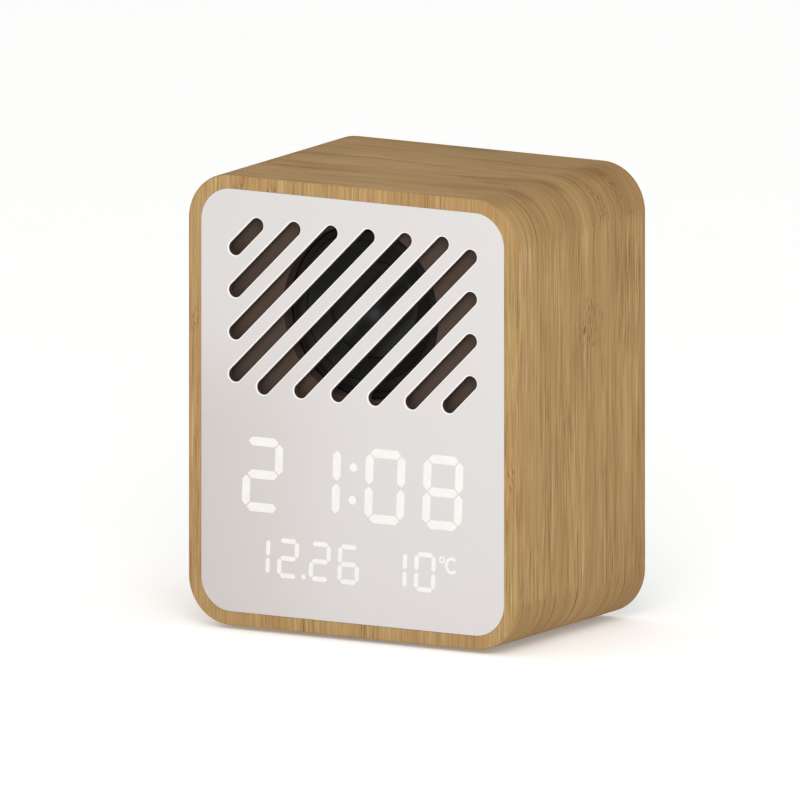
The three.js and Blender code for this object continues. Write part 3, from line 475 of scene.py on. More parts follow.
BAMBOO_DARK = rgb(114, 82, 44)
BAMBOO_MIDDLE = rgb(163, 133, 88)
BAMBOO_LIGHT = rgb(195, 168, 121)
BAMBOO_RED = rgb(167, 123, 84)
BAMBOO_SPECK = rgb(86, 57, 31)


def knot_share(shader, raw, knots):
    """1 in the middle of each knot and 0 away from it. A knot is (along, across, half
    length, half width) in millimetres."""
    jitter = shader.noise(shader.stretch(raw, (1 / 5, 1 / 3, 1)), detail=2) * 1.6 - 0.8
    total = 0.0
    for along, across, half_length, half_width in knots:
        away = shader.vector("SUBTRACT", raw, (along, across, 0))
        away = shader.stretch(away, (1 / half_length, 1 / half_width, 0))
        length = Signal(shader, shader.vector("LENGTH", away, (0, 0, 0), "Value"))
        total = shader.smooth(length + jitter, 1.0, 0.3) + total
    return shader.math("MINIMUM", total, 1.0)


class Grain:
    """The fibres of bamboo: they wander slowly, and curl round the knots."""

    def __init__(self, shader, raw, knot):
        wander = shader.noise(shader.stretch(raw, (1 / 60, 1 / 20, 1)), detail=2)
        curl = shader.noise(shader.stretch(raw, (1 / 4, 1 / 2, 1)), detail=2)
        shift = (curl - 0.5) * knot * 1.3 + (wander - 0.5)
        sideways = shader.add("ShaderNodeCombineXYZ", {"Y": shift})
        self.shader = shader
        self.coords = shader.vector("ADD", raw, sideways)

    def streaks(self, along, across, seed, detail=1.0):
        """Noise drawn out along the fibres, by its size in millimetres each way."""
        place = self.shader.stretch(self.coords, (1 / along, 1 / across, 0))
        return self.shader.noise(self.shader.vector("ADD", place, (0, 0, seed)), detail)

    def bands(self, along, across, seed, low, high):
        """Streaks cut to 0 below low and 1 above high."""
        return self.shader.smooth(self.streaks(along, across, seed), low, high)


def line_tone(grain, fine, medium, line):
    """Fine dark and light lines, stronger in busy patches, with a few long ones."""
    tone = fine * 0.84 - 0.4
    tone = tone - grain.bands(13, line * 0.8, 2.3, 0.58, 0.67) * 0.18
    tone = tone + grain.bands(16, line, 3.3, 0.58, 0.67) * 0.13
    tone = tone * (grain.bands(50, 6, 11.3, 0.32, 0.62) * 0.75 + 0.55)
    tone = tone + (medium * 0.36 - 0.18)
    return tone - grain.bands(170, line * 0.9, 12.3, 0.5, 0.62) * 0.12


def bent_tone(shader, grain, raw, tone, bend, top):
    """Calmer wood on the bends and the top, with thin arcs round the bends, flames on the top,
    painted shade that darkens the top a little, slightly darker bends, and a darker back."""
    tone = tone * (top * -0.45 + (bend * -0.55 + 1.0))
    light_arcs = grain.bands(200, 0.5, 9.3, 0.6, 0.74) * 0.18
    arcs = light_arcs - grain.bands(150, 0.5, 8.3, 0.6, 0.72) * 0.46
    tone = tone + arcs * bend
    flames = shader.noise(shader.stretch(grain.coords, (1 / 50, 1 / 7, 1)), distortion=0.7)
    tone = tone - shader.smooth(flames, 0.46, 0.68) * top * 0.16
    # painted shade: the top is darkened a little, as light falls on it; the bends are darkened a
    # little too
    tone = tone - bend * 0.05 - top * 0.04
    depth = shader.split(raw)[1]
    return tone - shader.smooth(depth, 50, 67) * 0.09


def bamboo(name, place, knots, line, light, red_amount, faces=None):
    """Strips of bamboo. place(shader) gives (along, across, 0) in millimetres, line is the
    width of the finest lines, light lightens the whole, and faces(shader) gives the share
    of bent wood and the share of the top, where the figure differs."""
    shader = Shader(name, 0.65, specular=0.06)
    raw = place(shader)
    knot = knot_share(shader, raw, knots)
    grain = Grain(shader, raw, knot)

    # tone: 0 is the darkest wood and 1 the lightest
    fine = grain.streaks(14, line, 1.3, detail=2)
    medium = grain.streaks(40, line * 3, 4.3)
    tone = line_tone(grain, fine, medium, line)
    specks = knot
    if faces:
        bend, top = faces(shader)
        tone = bent_tone(shader, grain, raw, tone, bend, top)
        edge = (bend - bend * bend) * grain.bands(30, 3, 7.3, 0.4, 0.62)
        specks = shader.math("MINIMUM", shader.math("MAXIMUM", knot, edge * 3.0), 1.0)
    tone = tone + (grain.streaks(80, 9, 5.3) * 0.36 - 0.18)
    tone = tone + (knot * -0.06 + (0.5 + light))
    stops = [(0.0, BAMBOO_DARK), (0.5, BAMBOO_MIDDLE), (1.0, BAMBOO_LIGHT)]
    colour = shader.ramp(tone, stops)

    # redder strips, short dark dashes, and dark and light specks in the knots
    red = shader.math("MAXIMUM", grain.bands(60, 3.2, 10.3, 0.46, 0.7), knot * 0.8)
    colour = shader.mix(red * red_amount, colour, BAMBOO_RED)
    flecks = grain.streaks(5, 0.2, 6.3)
    dashes = shader.smooth(flecks, 0.6, 0.74) * shader.smooth(medium, 0.6, 0.4)
    colour = shader.mix(dashes * 0.3, colour, BAMBOO_SPECK)
    speck_place = shader.stretch(grain.coords, (1 / 2.4, 1 / 0.5, 1))
    for seed, amount, tint in ((0, 0.62, BAMBOO_SPECK), (20, 0.25, BAMBOO_LIGHT)):
        found = shader.noise(shader.vector("ADD", speck_place, (seed, seed, seed)), detail=1)
        found = shader.smooth(found, 0.52, 0.66) * specks
        colour = shader.mix(found * amount, colour, tint)
    shader.colour(colour)
    shader.roughness(medium * 0.2 + 0.55)
    shader.bump(flecks * -0.35 + fine, 0.03 * MM)
    return shader.material


def wrap_place(shader):
    """Along the case's outline, and across it in depth, from the grain map."""
    return shader.stretch(shader.add("ShaderNodeUVMap", {}, uv_map="grain"), (1000, 1000, 0))


def rim_place(shader):
    """Upwards along the rim, and across it to the right."""
    x, _, z = shader.split(shader.object_mm())
    return shader.add("ShaderNodeCombineXYZ", {"X": z, "Y": x, "Z": 7.0})


def bent_and_top(shader):
    """The share of bent wood, 1 round the corners, and of the top, 1 on its flat face."""
    x, _, z = shader.split(shader.object_mm())
    height = z - MIDDLE / MM
    flat_x = (WIDTH / 2 - CASE_CORNER) / MM
    flat_z = (HEIGHT / 2 - CASE_CORNER) / MM
    past_x = shader.smooth(shader.math("ABSOLUTE", x, 0.0), flat_x - 1.5, flat_x + 2.5)
    past_z = shader.smooth(shader.math("ABSOLUTE", height, 0.0), flat_z - 1.5, flat_z + 2.5)
    return past_x * past_z, shader.smooth(height, flat_z + 9, flat_z + 12)


# ---- bamboo case

CASE_STEPS = 24
ARRIS = 0.5 * MM
INNER_ARRIS = 0.15 * MM
SEAM = 0.04 * MM

# knots as (height from the middle, depth or X, half length, half width), in millimetres
WRAP_KNOTS = ((23, 38, 10, 9), (54, 46, 7, 3), (60, 56, 10, 5), (150, 30, 12, 5), (250, 20, 13, 6))
RIM_KNOTS = ((20, -48, 5, 1.2), (-13, 48.3, 6, 1.2), (58, -34, 9, 3.5), (57, -25, 3, 3))


def case_ring(width, height, radius):
    """The outline from the middle of the underside, counter-clockwise seen from the front."""
    corners = rounded_rectangle(width, height, radius, 0, MIDDLE, steps=CASE_STEPS)
    return [(0.0, MIDDLE - height / 2)] + corners()


def outline_length(height):
    """Distance in millimetres along the outline to a height on the right-hand side."""
    bottom = WIDTH / 2 - CASE_CORNER + math.radians(90) * CASE_CORNER
    return (bottom + height * MM + HEIGHT / 2 - CASE_CORNER) / MM


def outer_ring(inset):
    return case_ring(WIDTH - 2 * inset, HEIGHT - 2 * inset, CASE_CORNER - inset)


def opening_ring(grow):
    return case_ring(PANEL_WIDTH + 2 * grow, PANEL_HEIGHT + 2 * grow, PANEL_CORNER + grow)


def end_rings(y_at, rebate, rim_from):
    """One end of the wall as (outline, y, is it rim) rings, from the outer wall over the
    rim to the shoulder. y_at(depth) gives Y, and rim_from is the rounding's first rim step."""
    rings = [(outer_ring(0), y_at(ARRIS + SUPPORT), False)]
    for number, (inset, drop) in enumerate(reversed(quarter())):
        rings.append((outer_ring(ARRIS * inset), y_at(ARRIS * drop), number >= rim_from))
    rings.append((outer_ring(ARRIS + SUPPORT), y_at(0), True))
    rings.append((opening_ring(SEAM + INNER_ARRIS + SUPPORT), y_at(0), True))
    for inset, drop in quarter(3):
        rings.append((opening_ring(SEAM + INNER_ARRIS * inset), y_at(INNER_ARRIS * drop), True))
    rings.append((opening_ring(SEAM), y_at(rebate), False))
    rings.append((opening_ring(-SHOULDER), y_at(rebate), False))
    return rings


def case_section():
    """The wall's section, from the outer wall round the front, the inside and the back."""
    front = end_rings(lambda depth: FRONT + depth, FRONT_REBATE, 3)
    back = end_rings(lambda depth: BACK - depth, REAR_REBATE, 4)
    return front + back[::-1]


def make_case():
    section = case_section()
    outline = outer_ring(0)
    lengths = [0.0]
    for first, second in zip(outline, outline[1:] + outline[:1]):
        lengths.append(lengths[-1] + math.dist(first, second))
    bm = bmesh.new()
    grain = bm.loops.layers.uv.new("grain")
    rings = [ring_of(bm, points, y) for points, y, _ in section]
    count = len(outline)
    for k in range(len(rings)):
        after = (k + 1) % len(rings)
        on_rim = section[k][2] and section[after][2]
        for i in range(count):
            j = (i + 1) % count
            corners = (rings[k][i], rings[k][j], rings[after][j], rings[after][i])
            face = bm.faces.new(corners)
            face.material_index = 1 if on_rim else 0
            along = (lengths[i], lengths[i + 1], lengths[i + 1], lengths[i])
            for loop, length in zip(face.loops, along):
                loop[grain].uv = (length, loop.vert.co.y - FRONT)
    wrap_knots = [(outline_length(height), *rest) for height, *rest in WRAP_KNOTS]
    wrap = bamboo("bamboo_wrap", wrap_place, wrap_knots, 0.5, 0.01, 0.24, bent_and_top)
    rim_knots = [(MIDDLE / MM + height, *rest) for height, *rest in RIM_KNOTS]
    rim = bamboo("bamboo_rim", rim_place, rim_knots, 0.36, 0.02, 0.42)
    finish_piece("bamboo_shell", bm, [wrap, rim], ["bamboo_case"])


# ---- front panel and digits

PANEL_RECESS = 0.03 * MM
SLOT_BEVEL = 0.3 * MM


def slot_outlines():
    """Each slot's centre line is a line at 45 degrees clipped to the slots' field."""
    cos = math.cos(SLOT_ANGLE)
    sin = math.sin(SLOT_ANGLE)
    slots = []
    for i in range(SLOT_COUNT):
        offset = (i - (SLOT_COUNT - 1) / 2) * SLOT_PITCH
        base_x = -offset * sin
        base_z = offset * cos
        start = max((-SLOT_FIELD_WIDTH / 2 - base_x) / cos, (-SLOT_FIELD_HEIGHT / 2 - base_z) / sin)
        end = min((SLOT_FIELD_WIDTH / 2 - base_x) / cos, (SLOT_FIELD_HEIGHT / 2 - base_z) / sin)
        middle = (start + end) / 2
        x = base_x + middle * cos
        z = SPEAKER_Z + base_z + middle * sin
        length = end - start + SLOT_WIDTH
        slots.append(
            rounded_rectangle(length, SLOT_WIDTH, SLOT_WIDTH / 2, x, z, turn=SLOT_ANGLE, steps=14)
        )
    return slots


def panel_outline(grow=0.0, steps=24):
    return rounded_rectangle(
        PANEL_WIDTH + 2 * grow, PANEL_HEIGHT + 2 * grow, PANEL_CORNER + grow, 0, MIDDLE, steps=steps
    )


def panel_material():
    """Satin white with a pearl tint and painted shade, both deepening towards the lower left."""
    shader = Shader("panel_white", 0.42, specular=0.35)
    place = shader.object_mm()
    x, _, z = shader.split(place)
    painted_shade_leftward = shader.smooth(x, 8.0, -55.0)
    low = shader.smooth(z, MIDDLE / MM + 25, MIDDLE / MM - 10)
    clouds = shader.noise(place, detail=2, scale=0.03)
    # painted shade, partly a pearl tint: the colour turns darker and pinker towards the lower left
    tint = (clouds - 0.5) * 0.15 + painted_shade_leftward * low
    shader.colour(shader.mix(tint, rgb(201, 197, 195), rgb(190, 183, 180)))
    skin = shader.noise(place, detail=2, scale=2.4)
    shader.roughness(skin * 0.1 + 0.38)
    shader.bump(skin, 0.004 * MM)
    return shader.material


def paint_slot_edges(bm):
    """The slots' rounded edges get a brighter white, a painted highlight round each slot, and their
    walls the panel's dark back.
    """
    face_end = FRONT + PANEL_RECESS + 0.01 * MM
    bevel_end = FRONT + PANEL_RECESS + SLOT_BEVEL
    field_x = SLOT_FIELD_WIDTH / 2 + SLOT_WIDTH
    field_z = SLOT_FIELD_HEIGHT / 2 + SLOT_WIDTH
    for face in bm.faces:
        centre = face.calc_center_median()
        in_field = abs(centre.x) < field_x and abs(centre.z - SPEAKER_Z) < field_z
        if in_field and centre.y > bevel_end:
            face.material_index = 2
        # the rounded edge: painted highlight, a brighter white than the face
        elif in_field and centre.y > face_end:
            face.material_index = 1


def make_panel():
    bm = bmesh.new()
    add_plate(
        bm, panel_outline(), slot_outlines(), FRONT + PANEL_RECESS, PANEL_BACK,
        0.12 * MM, 0.1 * MM, SLOT_BEVEL,
    )
    paint_slot_edges(bm)
    # the slots' rounded edges are painted a brighter white than the face: a painted highlight
    slot_rim_highlight = moulded("panel_slot_painted_highlight", rgb(236, 232, 227), 0.35, grain=0.6, depth=0.004, spread=0.02)
    dark = moulded("panel_backing", rgb(66, 50, 42), 0.7, grain=0.5, depth=0.02)
    materials = [panel_material(), slot_rim_highlight, dark]
    finish_piece("slotted_panel", bm, materials, ["front_panel"])


TIME_DIGIT = {"width": 12.1, "height": 20.0, "stroke": 2.4, "gap": 0.34, "round": 0.32}
DATE_DIGIT = {"width": 6.5, "height": 10.65, "stroke": 1.3, "gap": 0.22, "round": 0.18}
TIME_Z = -19.15
DATE_Z = -40.9
LIT = {"0": "abcdef", "1": "bc", "2": "abged", "6": "acdefg", "8": "abcdefg"}
SEGMENT_FRONT = FRONT + 0.01 * MM
SEGMENT_BACK = FRONT + 0.4 * MM


def segment_corners(letter, size):
    """A segment's six corners about the digit's centre, in millimetres."""
    half = size["stroke"] / 2
    column = size["width"] / 2 - half
    row = size["height"] / 2 - half
    tip = size["gap"] * 0.7
    if letter in "agd":
        z = {"a": row, "g": 0.0, "d": -row}[letter]
        end = column - tip
        return [
            (-end, z), (-end + half, z - half), (end - half, z - half),
            (end, z), (end - half, z + half), (-end + half, z + half),
        ]
    x = column if letter in "bc" else -column
    low, high = (tip, row - tip) if letter in "bf" else (-row + tip, -tip)
    return [
        (x, low), (x + half, low + half), (x + half, high - half),
        (x, high), (x - half, high - half), (x - half, low + half),
    ]


def add_lit(bm, outline, holes=()):
    """A lit shape, level with the panel's face."""
    add_plate(bm, outline, holes, SEGMENT_FRONT, SEGMENT_BACK, 0.02 * MM, 0.02 * MM)


def add_segments(bm, text, centres, centre_z, size):
    for character, centre_x in zip(text, centres):
        for letter in LIT[character]:
            corners = [
                ((centre_x + x + z * DIGIT_SLANT) * MM, up(centre_z + z))
                for x, z in segment_corners(letter, size)
            ]
            add_lit(bm, rounded_polygon(corners, size["round"] * MM))


def add_dot(bm, x, z, radius):
    add_lit(bm, circle(radius * MM, x * MM, up(z), steps=8))


def digit_material():
    """Warm white light, a little uneven from diode to diode."""
    shader = Shader("digit_light", 0.4, specular=0.2)
    place = shader.object_mm()
    glow = shader.noise(place, detail=1, scale=0.45)
    shader.colour(shader.mix(glow, rgb(206, 203, 199), rgb(210, 207, 203)))
    light = shader.mix(shader.smooth(glow, 0.25, 0.75), rgb(150, 149, 147), rgb(163, 162, 160))
    shader.glow(light, 0.42)
    return shader.material


def add_unit(bm):
    """The degree ring and the letter after it."""
    ring_x = 27.24
    ring_z = -37.1
    outer = circle(0.96 * MM, ring_x * MM, up(ring_z), steps=8)
    inner = circle(0.46 * MM, ring_x * MM, up(ring_z), steps=8)
    add_lit(bm, outer, [inner])
    centre_x = 30.1
    centre_z = -38.5
    half_height = 2.3
    half_width = 1.95
    stroke = 0.8
    opening = math.radians(42)
    steps = 28
    outer_points = []
    inner_points = []
    for i in range(steps + 1):
        angle = opening + (2 * math.pi - 2 * opening) * i / steps
        cos = math.cos(angle)
        sin = math.sin(angle)
        outer_points.append((centre_x + half_width * cos, centre_z + half_height * sin))
        inner_points.append(
            (centre_x + (half_width - stroke) * cos, centre_z + (half_height - stroke) * sin)
        )
    points = outer_points + inner_points[::-1]
    flat = [(x * MM, up(z)) for x, z in points]
    rings = [ring_of(bm, flat, SEGMENT_FRONT), ring_of(bm, flat, SEGMENT_BACK)]
    bridge(bm, rings)
    cap(bm, [rings[0]])
    cap(bm, [rings[1]])


def make_digits():
    light = digit_material()
    bm = bmesh.new()
    add_segments(bm, "2108", (-27.4, -9.8, 9.85, 27.45), TIME_Z, TIME_DIGIT)
    for side in (-1, 1):
        add_dot(bm, side * 4.4 * DIGIT_SLANT + 0.1, TIME_Z + side * 4.4, 1.17)
    finish_piece("time_digits", bm, light)
    bm = bmesh.new()
    add_segments(bm, "1226", (-28.35, -19.63, -9.95, -1.26), DATE_Z, DATE_DIGIT)
    add_dot(bm, -14.95, -45.4, 0.66)
    finish_piece("date_digits", bm, light)
    bm = bmesh.new()
    add_segments(bm, "10", (13.27, 21.99), DATE_Z, DATE_DIGIT)
    add_unit(bm)
    finish_piece("temperature_digits", bm, light)


# ---- chassis and loudspeaker


def make_chassis():
    window_low, window_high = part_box("display_reflector")
    window_width = window_high.x - window_low.x
    window_height = window_high.z - window_low.z
    window_z = centre_of("display_reflector")[1]

    def window(grow):
        return rounded_rectangle(
            window_width + 2 * grow, window_height + 2 * grow, 1 * MM + grow, 0, window_z, steps=6
        )

    bm = bmesh.new()
    hole = circle(SPEAKER_HOLE, 0, SPEAKER_Z, steps=30)
    edge = 0.25 * MM
    add_plate(
        bm, panel_outline(), [hole, window(FIT)], BAFFLE_FRONT, BAFFLE_BACK, edge, edge, 0.2 * MM
    )
    lip = rounded_rectangle(
        PANEL_WIDTH - 10 * MM, PANEL_HEIGHT - 10 * MM, PANEL_CORNER - 5 * MM, 0, MIDDLE
    )
    lip_front = chassis_low.y
    add_plate(bm, panel_outline(), [lip], lip_front, BAFFLE_FRONT + edge, edge, edge)
    add_plate(bm, window(1.8 * MM), [window(FIT)], lip_front, BAFFLE_FRONT + edge, edge, edge)
    for x, z in map(centre_of, four("rear_screw")):
        profile = [
            (SCREW_HOLE, BAFFLE_BACK - edge), (3.8 * MM, BAFFLE_BACK - edge),
            (3.2 * MM, BAFFLE_BACK + 1 * MM), (3.2 * MM, chassis_high.y),
            (SCREW_HOLE, chassis_high.y),
        ]
        add_turned(bm, soften(profile, 0.4 * MM), x, z, steps=32)
    material = moulded("chassis_brown", rgb(82, 66, 55), 0.75, grain=0.5, depth=0.03, spread=0.06)
    finish_piece("chassis_frame", bm, material, ["chassis"])


def paper_material(name, colour, roughness, relief=0.01, specular=0.3, centre=None):
    """Pressed paper pulp: short fibres in the colour and in the relief. centre is a lighter colour
    painted round the loudspeaker's axis, a painted highlight."""
    shader = Shader(name, roughness, specular=specular)
    place = shader.object_mm()
    fibres = shader.noise(place, detail=4, scale=1.6, distortion=1.2)
    clouds = shader.noise(place, detail=2, scale=0.2)
    base = shader.mix(shader.smooth(clouds, 0.3, 0.7), shade(colour, 0.8), colour)
    # painted highlight: the paper fades to the lighter centre colour within 5 mm of the axis
    if centre:
        x, _, z = shader.split(place)
        rise = z - SPEAKER_Z / MM
        distance = shader.math("SQRT", x * x + rise * rise, 0.0)
        base = shader.mix(shader.smooth(distance, 5.0, 0.0), base, centre)
    shader.colour(base)
    shader.roughness(fibres * 0.1 + (roughness - 0.05))
    shader.bump(fibres, relief * MM)
    return shader.material


def make_gasket():
    bm = bmesh.new()
    low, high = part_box("speaker_gasket")
    size = high.x - low.x
    outer = rounded_rectangle(size, size, 6 * MM, 0, SPEAKER_Z)
    holes = [circle(SPEAKER_HOLE + 0.1 * MM, 0, SPEAKER_Z, steps=30)]
    for x, z in map(centre_of, four("speaker_screw")):
        holes.append(circle(1.4 * MM, x, z, steps=4))
    add_plate(bm, outer, holes, low.y, high.y, 0.1 * MM, 0.1 * MM)
    foam = moulded("foam_black", rgb(30, 29, 28), 0.95, grain=0.35, depth=0.06, specular=0.1)
    finish_piece("foam_gasket", bm, foam, ["speaker_gasket"])


def make_surround():
    """A low half roll of rubber with a flat rim glued to the basket."""
    low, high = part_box("speaker_surround")
    inner = CONE_RADIUS + 0.1 * MM
    roll_outer = SPEAKER_HOLE - 1.6 * MM
    rim = high.x
    base = high.y - 0.5 * MM
    rise = 0.6 * (base - low.y)
    centre = (inner + roll_outer) / 2
    half = (roll_outer - inner) / 2
    front = []
    back = []
    steps = 16
    for i in range(steps + 1):
        angle = math.pi * i / steps
        cos = math.cos(angle)
        sin = math.sin(angle)
        front.append((centre - half * cos, base - rise * sin))
        back.append((centre - (half - 0.25 * MM) * cos, high.y - (rise - 0.1 * MM) * sin))
    profile = front + [(rim, base), (rim, high.y)] + back[::-1]
    bm = bmesh.new()
    add_turned(bm, profile, 0, SPEAKER_Z, steps=96)
    rubber = moulded("surround_rubber", rgb(40, 38, 37), 0.7, grain=0.4, depth=0.006, specular=0.2)
    finish_piece("rubber_surround", bm, rubber, ["speaker_surround"])


def make_cone():
    """A gently curved paper cone with a short neck."""
    low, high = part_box("speaker_cone")
    edge = low.y
    hollow = 5.3 * MM  # leaves the spider clear when the cone is furthest back
    neck = 6.85 * MM
    neck_outer = 6.97 * MM
    neck_back = high.y - 0.6 * MM
    wall = 0.4 * MM
    steps = 24
    front = []
    for i in range(steps + 1):
        share = i / steps
        radius = CONE_RADIUS + (neck - CONE_RADIUS) * share
        front.append((radius, edge + hollow * share**0.93))
    back = [(radius, depth + wall) for radius, depth in front[:-1]]
    tube = [(neck, neck_back), (neck_outer, neck_back), (neck_outer, edge + hollow + wall)]
    bm = bmesh.new()
    add_turned(bm, front + tube + back[::-1], 0, SPEAKER_Z, steps=96)
    paper = paper_material("cone_paper", rgb(28, 27, 26), 0.6)
    finish_piece("paper_cone", bm, paper, ["speaker_cone"], "loudspeaker_cone")


def make_dust_cap():
    """A domed cap with a small rise at its centre."""
    low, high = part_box("speaker_dust_cap")
    rise = high.y - low.y - 0.5 * MM
    centre_radius = 2.8 * MM
    steps = 40
    front = []
    back = []
    for i in range(steps + 1):
        share = i / steps
        radius = CAP_RADIUS * share
        height = (rise - 0.6 * MM) * (1 - share**2)
        if radius < centre_radius:
            height += 0.3 * MM * (1 + math.cos(math.pi * radius / centre_radius))
        front.append((radius, high.y - 0.5 * MM - height))
        back.append((radius * 0.97, high.y - height))
    rim = [(CAP_RADIUS + 0.5 * MM, high.y - 0.2 * MM)]
    profile = front + rim + back[::-1]
    bm = bmesh.new()
    add_turned(bm, profile, 0, SPEAKER_Z, steps=96, closed=False)
    # a lighter colour painted on the cap's middle stands in for a highlight
    painted_highlight_colour = rgb(66, 66, 68)
    cap_paper_painted_highlight = paper_material("cap_paper_painted_highlight", rgb(25, 23, 21), 0.34, 0.002, 0.32, painted_highlight_colour)
    body = "loudspeaker_cone"
    finish_piece("dust_cap", bm, cap_paper_painted_highlight, ["speaker_dust_cap"], body)


# ---- rear cover

BUTTONS = ("mode", "minus", "plus", "alarm")
VENT_COUNT = 5


def rear_openings():
    """The holes of the rear cover, each in line with the piece behind it."""
    holes = []
    for x, z in map(centre_of, four("rear_screw")):
        holes.append(circle(HEAD_WELL, x, z, steps=10))
    for name in BUTTONS:
        x, z = centre_of(f"{name}_button")
        holes.append(circle(4.3 * MM, x, z, steps=14))
    x, z = centre_of("charging_socket")
    holes.append(rounded_rectangle(12.6 * MM, 6.8 * MM, 3.3 * MM, x, z))
    x, z = centre_of("power_switch")
    holes.append(rounded_rectangle(7.1 * MM, 4 * MM, 0.6 * MM, x, z, steps=5))
    x, z = centre_of("temperature_sensor")
    for i in range(VENT_COUNT):
        vent_x = x + (i - (VENT_COUNT - 1) / 2) * 3.2 * MM
        holes.append(rounded_rectangle(1.6 * MM, 10 * MM, 0.8 * MM, vent_x, z, steps=6))
    return holes


def make_rear_cover():
    bm = bmesh.new()
    edge = 0.3 * MM
    add_plate(
        bm, panel_outline(-SEAM), rear_openings(), COVER_FRONT, COVER_BACK, 0.2 * MM, edge,
        0.1 * MM,
    )
    seat = COVER_BACK - 1.9 * MM
    cup_front = COVER_FRONT - 2 * MM
    for x, z in map(centre_of, four("rear_screw")):
        profile = [
            (SCREW_HOLE, cup_front), (4.3 * MM, cup_front), (4.3 * MM, COVER_FRONT + edge),
            (HEAD_WELL, COVER_FRONT + edge), (HEAD_WELL, seat), (SCREW_HOLE, seat),
        ]
        add_turned(bm, soften(profile, 0.15 * MM), x, z, steps=40)
    for drop in (53.5 * MM, 0):
        for node in ("board_screw_1", "board_screw_2"):
            x, z = centre_of(node)
            profile = [
                (0, COVER_FRONT + edge), (2.8 * MM, COVER_FRONT + edge),
                (2.8 * MM, COVER_FRONT - 6.7 * MM), (0, COVER_FRONT - 6.7 * MM),
            ]
            softened = soften(profile, 0.2 * MM, closed=False)
            add_turned(bm, softened, x, z - drop, 24, closed=False)
    plastic = moulded("cover_black", rgb(52, 50, 48), 0.6, grain=0.35, depth=0.035, spread=0.06)
    finish_piece("rear_plate", bm, plastic, ["rear_cover"])


def cross_outline(arm, width, x, z):
    """A cross recess, as the points of its four arms."""
    half = width / 2
    quarter_points = [(arm, -half), (arm, half), (half, half)]

    def outline(grow=0.0):
        points = []
        for turn in range(4):
            for point_x, point_z in quarter_points:
                point_x += grow if point_x > 0 else -grow
                point_z += grow if point_z > 0 else -grow
                for _ in range(turn):
                    point_x, point_z = -point_z, point_x
                points.append((x + point_x, z + point_z))
        return points

    return outline


def make_rear_screws():
    steel = metal("screw_black", rgb(92, 92, 95), 0.38)
    for number, node in enumerate(four("rear_screw"), start=1):
        low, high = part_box(node)
        x, z = centre_of(node)
        radius = (high.x - low.x) / 2
        top = high.y
        seat = top - 1.6 * MM
        bm = bmesh.new()
        head = circle(radius, x, z, steps=12)
        rings = [ring_of(bm, head(0), seat), ring_of(bm, head(0), top - 0.7 * MM)]
        for inset, rise in ((0.06, 0.45), (0.2, 0.25), (0.45, 0.1), (0.9, 0.0)):
            rings.append(ring_of(bm, head(-inset * MM), top - rise * MM))
        bridge(bm, rings)
        cross = cross_outline(1.5 * MM, 0.62 * MM, x, z)
        walls = [
            ring_of(bm, cross(0.06 * MM), top), ring_of(bm, cross(0), top - 0.08 * MM),
            ring_of(bm, cross(-0.12 * MM), top - 0.9 * MM),
        ]
        bridge(bm, walls)
        cap(bm, [rings[-1], walls[0]])
        cap(bm, [walls[-1]])
        cap(bm, [rings[0]])
        thread = []
        turns = 7
        for k in range(turns):
            y = seat - (1 + k) * MM
            thread += [(1.25 * MM, y + 0.45 * MM), (1.4 * MM, y), (1.25 * MM, y - 0.45 * MM)]
        shank = [(0, seat + 0.1 * MM), (1.25 * MM, seat + 0.1 * MM)] + thread + [(0, low.y)]
        add_turned(bm, shank, x, z, 24, closed=False)
        finish_piece(f"pan_head_screw_{number}", bm, steel, [node])


def add_symbol(bm, name, x, z, y):
    """A raised symbol on a button: two bars, a ring or a bell."""
    low = y - 0.05 * MM
    high = y + 0.09 * MM
    bevel = 0.03 * MM
    bar = rounded_rectangle(3.2 * MM, 0.5 * MM, 0.2 * MM, x, z, steps=3)
    post = rounded_rectangle(0.5 * MM, 3.2 * MM, 0.2 * MM, x, z, steps=3)
    if name == "mode":
        ring = circle(1.45 * MM, x, z, steps=10)
        hole = circle(1.0 * MM, x, z, steps=10)
        hand = rounded_rectangle(0.36 * MM, 0.9 * MM, 0.15 * MM, x, z + 0.35 * MM, steps=2)
        shapes = [(ring, [hole]), (hand, [])]
    elif name == "minus":
        shapes = [(bar, [])]
    elif name == "plus":
        shapes = [(bar, []), (post, [])]
    else:
        corners = ((-1.3, -0.9), (1.3, -0.9), (0.9, 0.5), (0.5, 1.3), (-0.5, 1.3), (-0.9, 0.5))
        bell = rounded_polygon([(x + a * MM, z + b * MM) for a, b in corners], 0.2 * MM)
        clapper = circle(0.38 * MM, x, z - 1.35 * MM, steps=4)
        shapes = [(bell, []), (clapper, [])]
    for outline, holes in shapes:
        add_plate(bm, outline, holes, low, high, bevel, bevel)


def make_buttons():
    cap_white = moulded("button_white", rgb(222, 217, 213), 0.42, grain=0.5, depth=0.01)
    ink = moulded("symbol_ink", rgb(74, 71, 69), 0.5, grain=0.3, depth=0.005)
    for name in BUTTONS:
        node = f"{name}_button"
        low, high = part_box(node)
        x, z = centre_of(node)
        top = high.y
        profile = [
            (0, low.y), (1.7 * MM, low.y), (1.7 * MM, FLANGE_BACK - 1 * MM),
            (5 * MM, FLANGE_BACK - 1 * MM), (5 * MM, FLANGE_BACK), (4 * MM, FLANGE_BACK),
            (4 * MM, top - 0.1 * MM), (3.2 * MM, top - 0.1 * MM), (0, top - 0.3 * MM),
        ]
        bm = bmesh.new()
        add_turned(bm, soften(profile, 0.4 * MM, closed=False, steps=5), x, z, 56, closed=False)
        finish_piece(f"{name}_cap", bm, cap_white, [node], body=node)
        bm = bmesh.new()
        add_symbol(bm, name, x, z, top - 0.24 * MM)
        finish_piece(f"{name}_symbol", bm, ink, body=node)


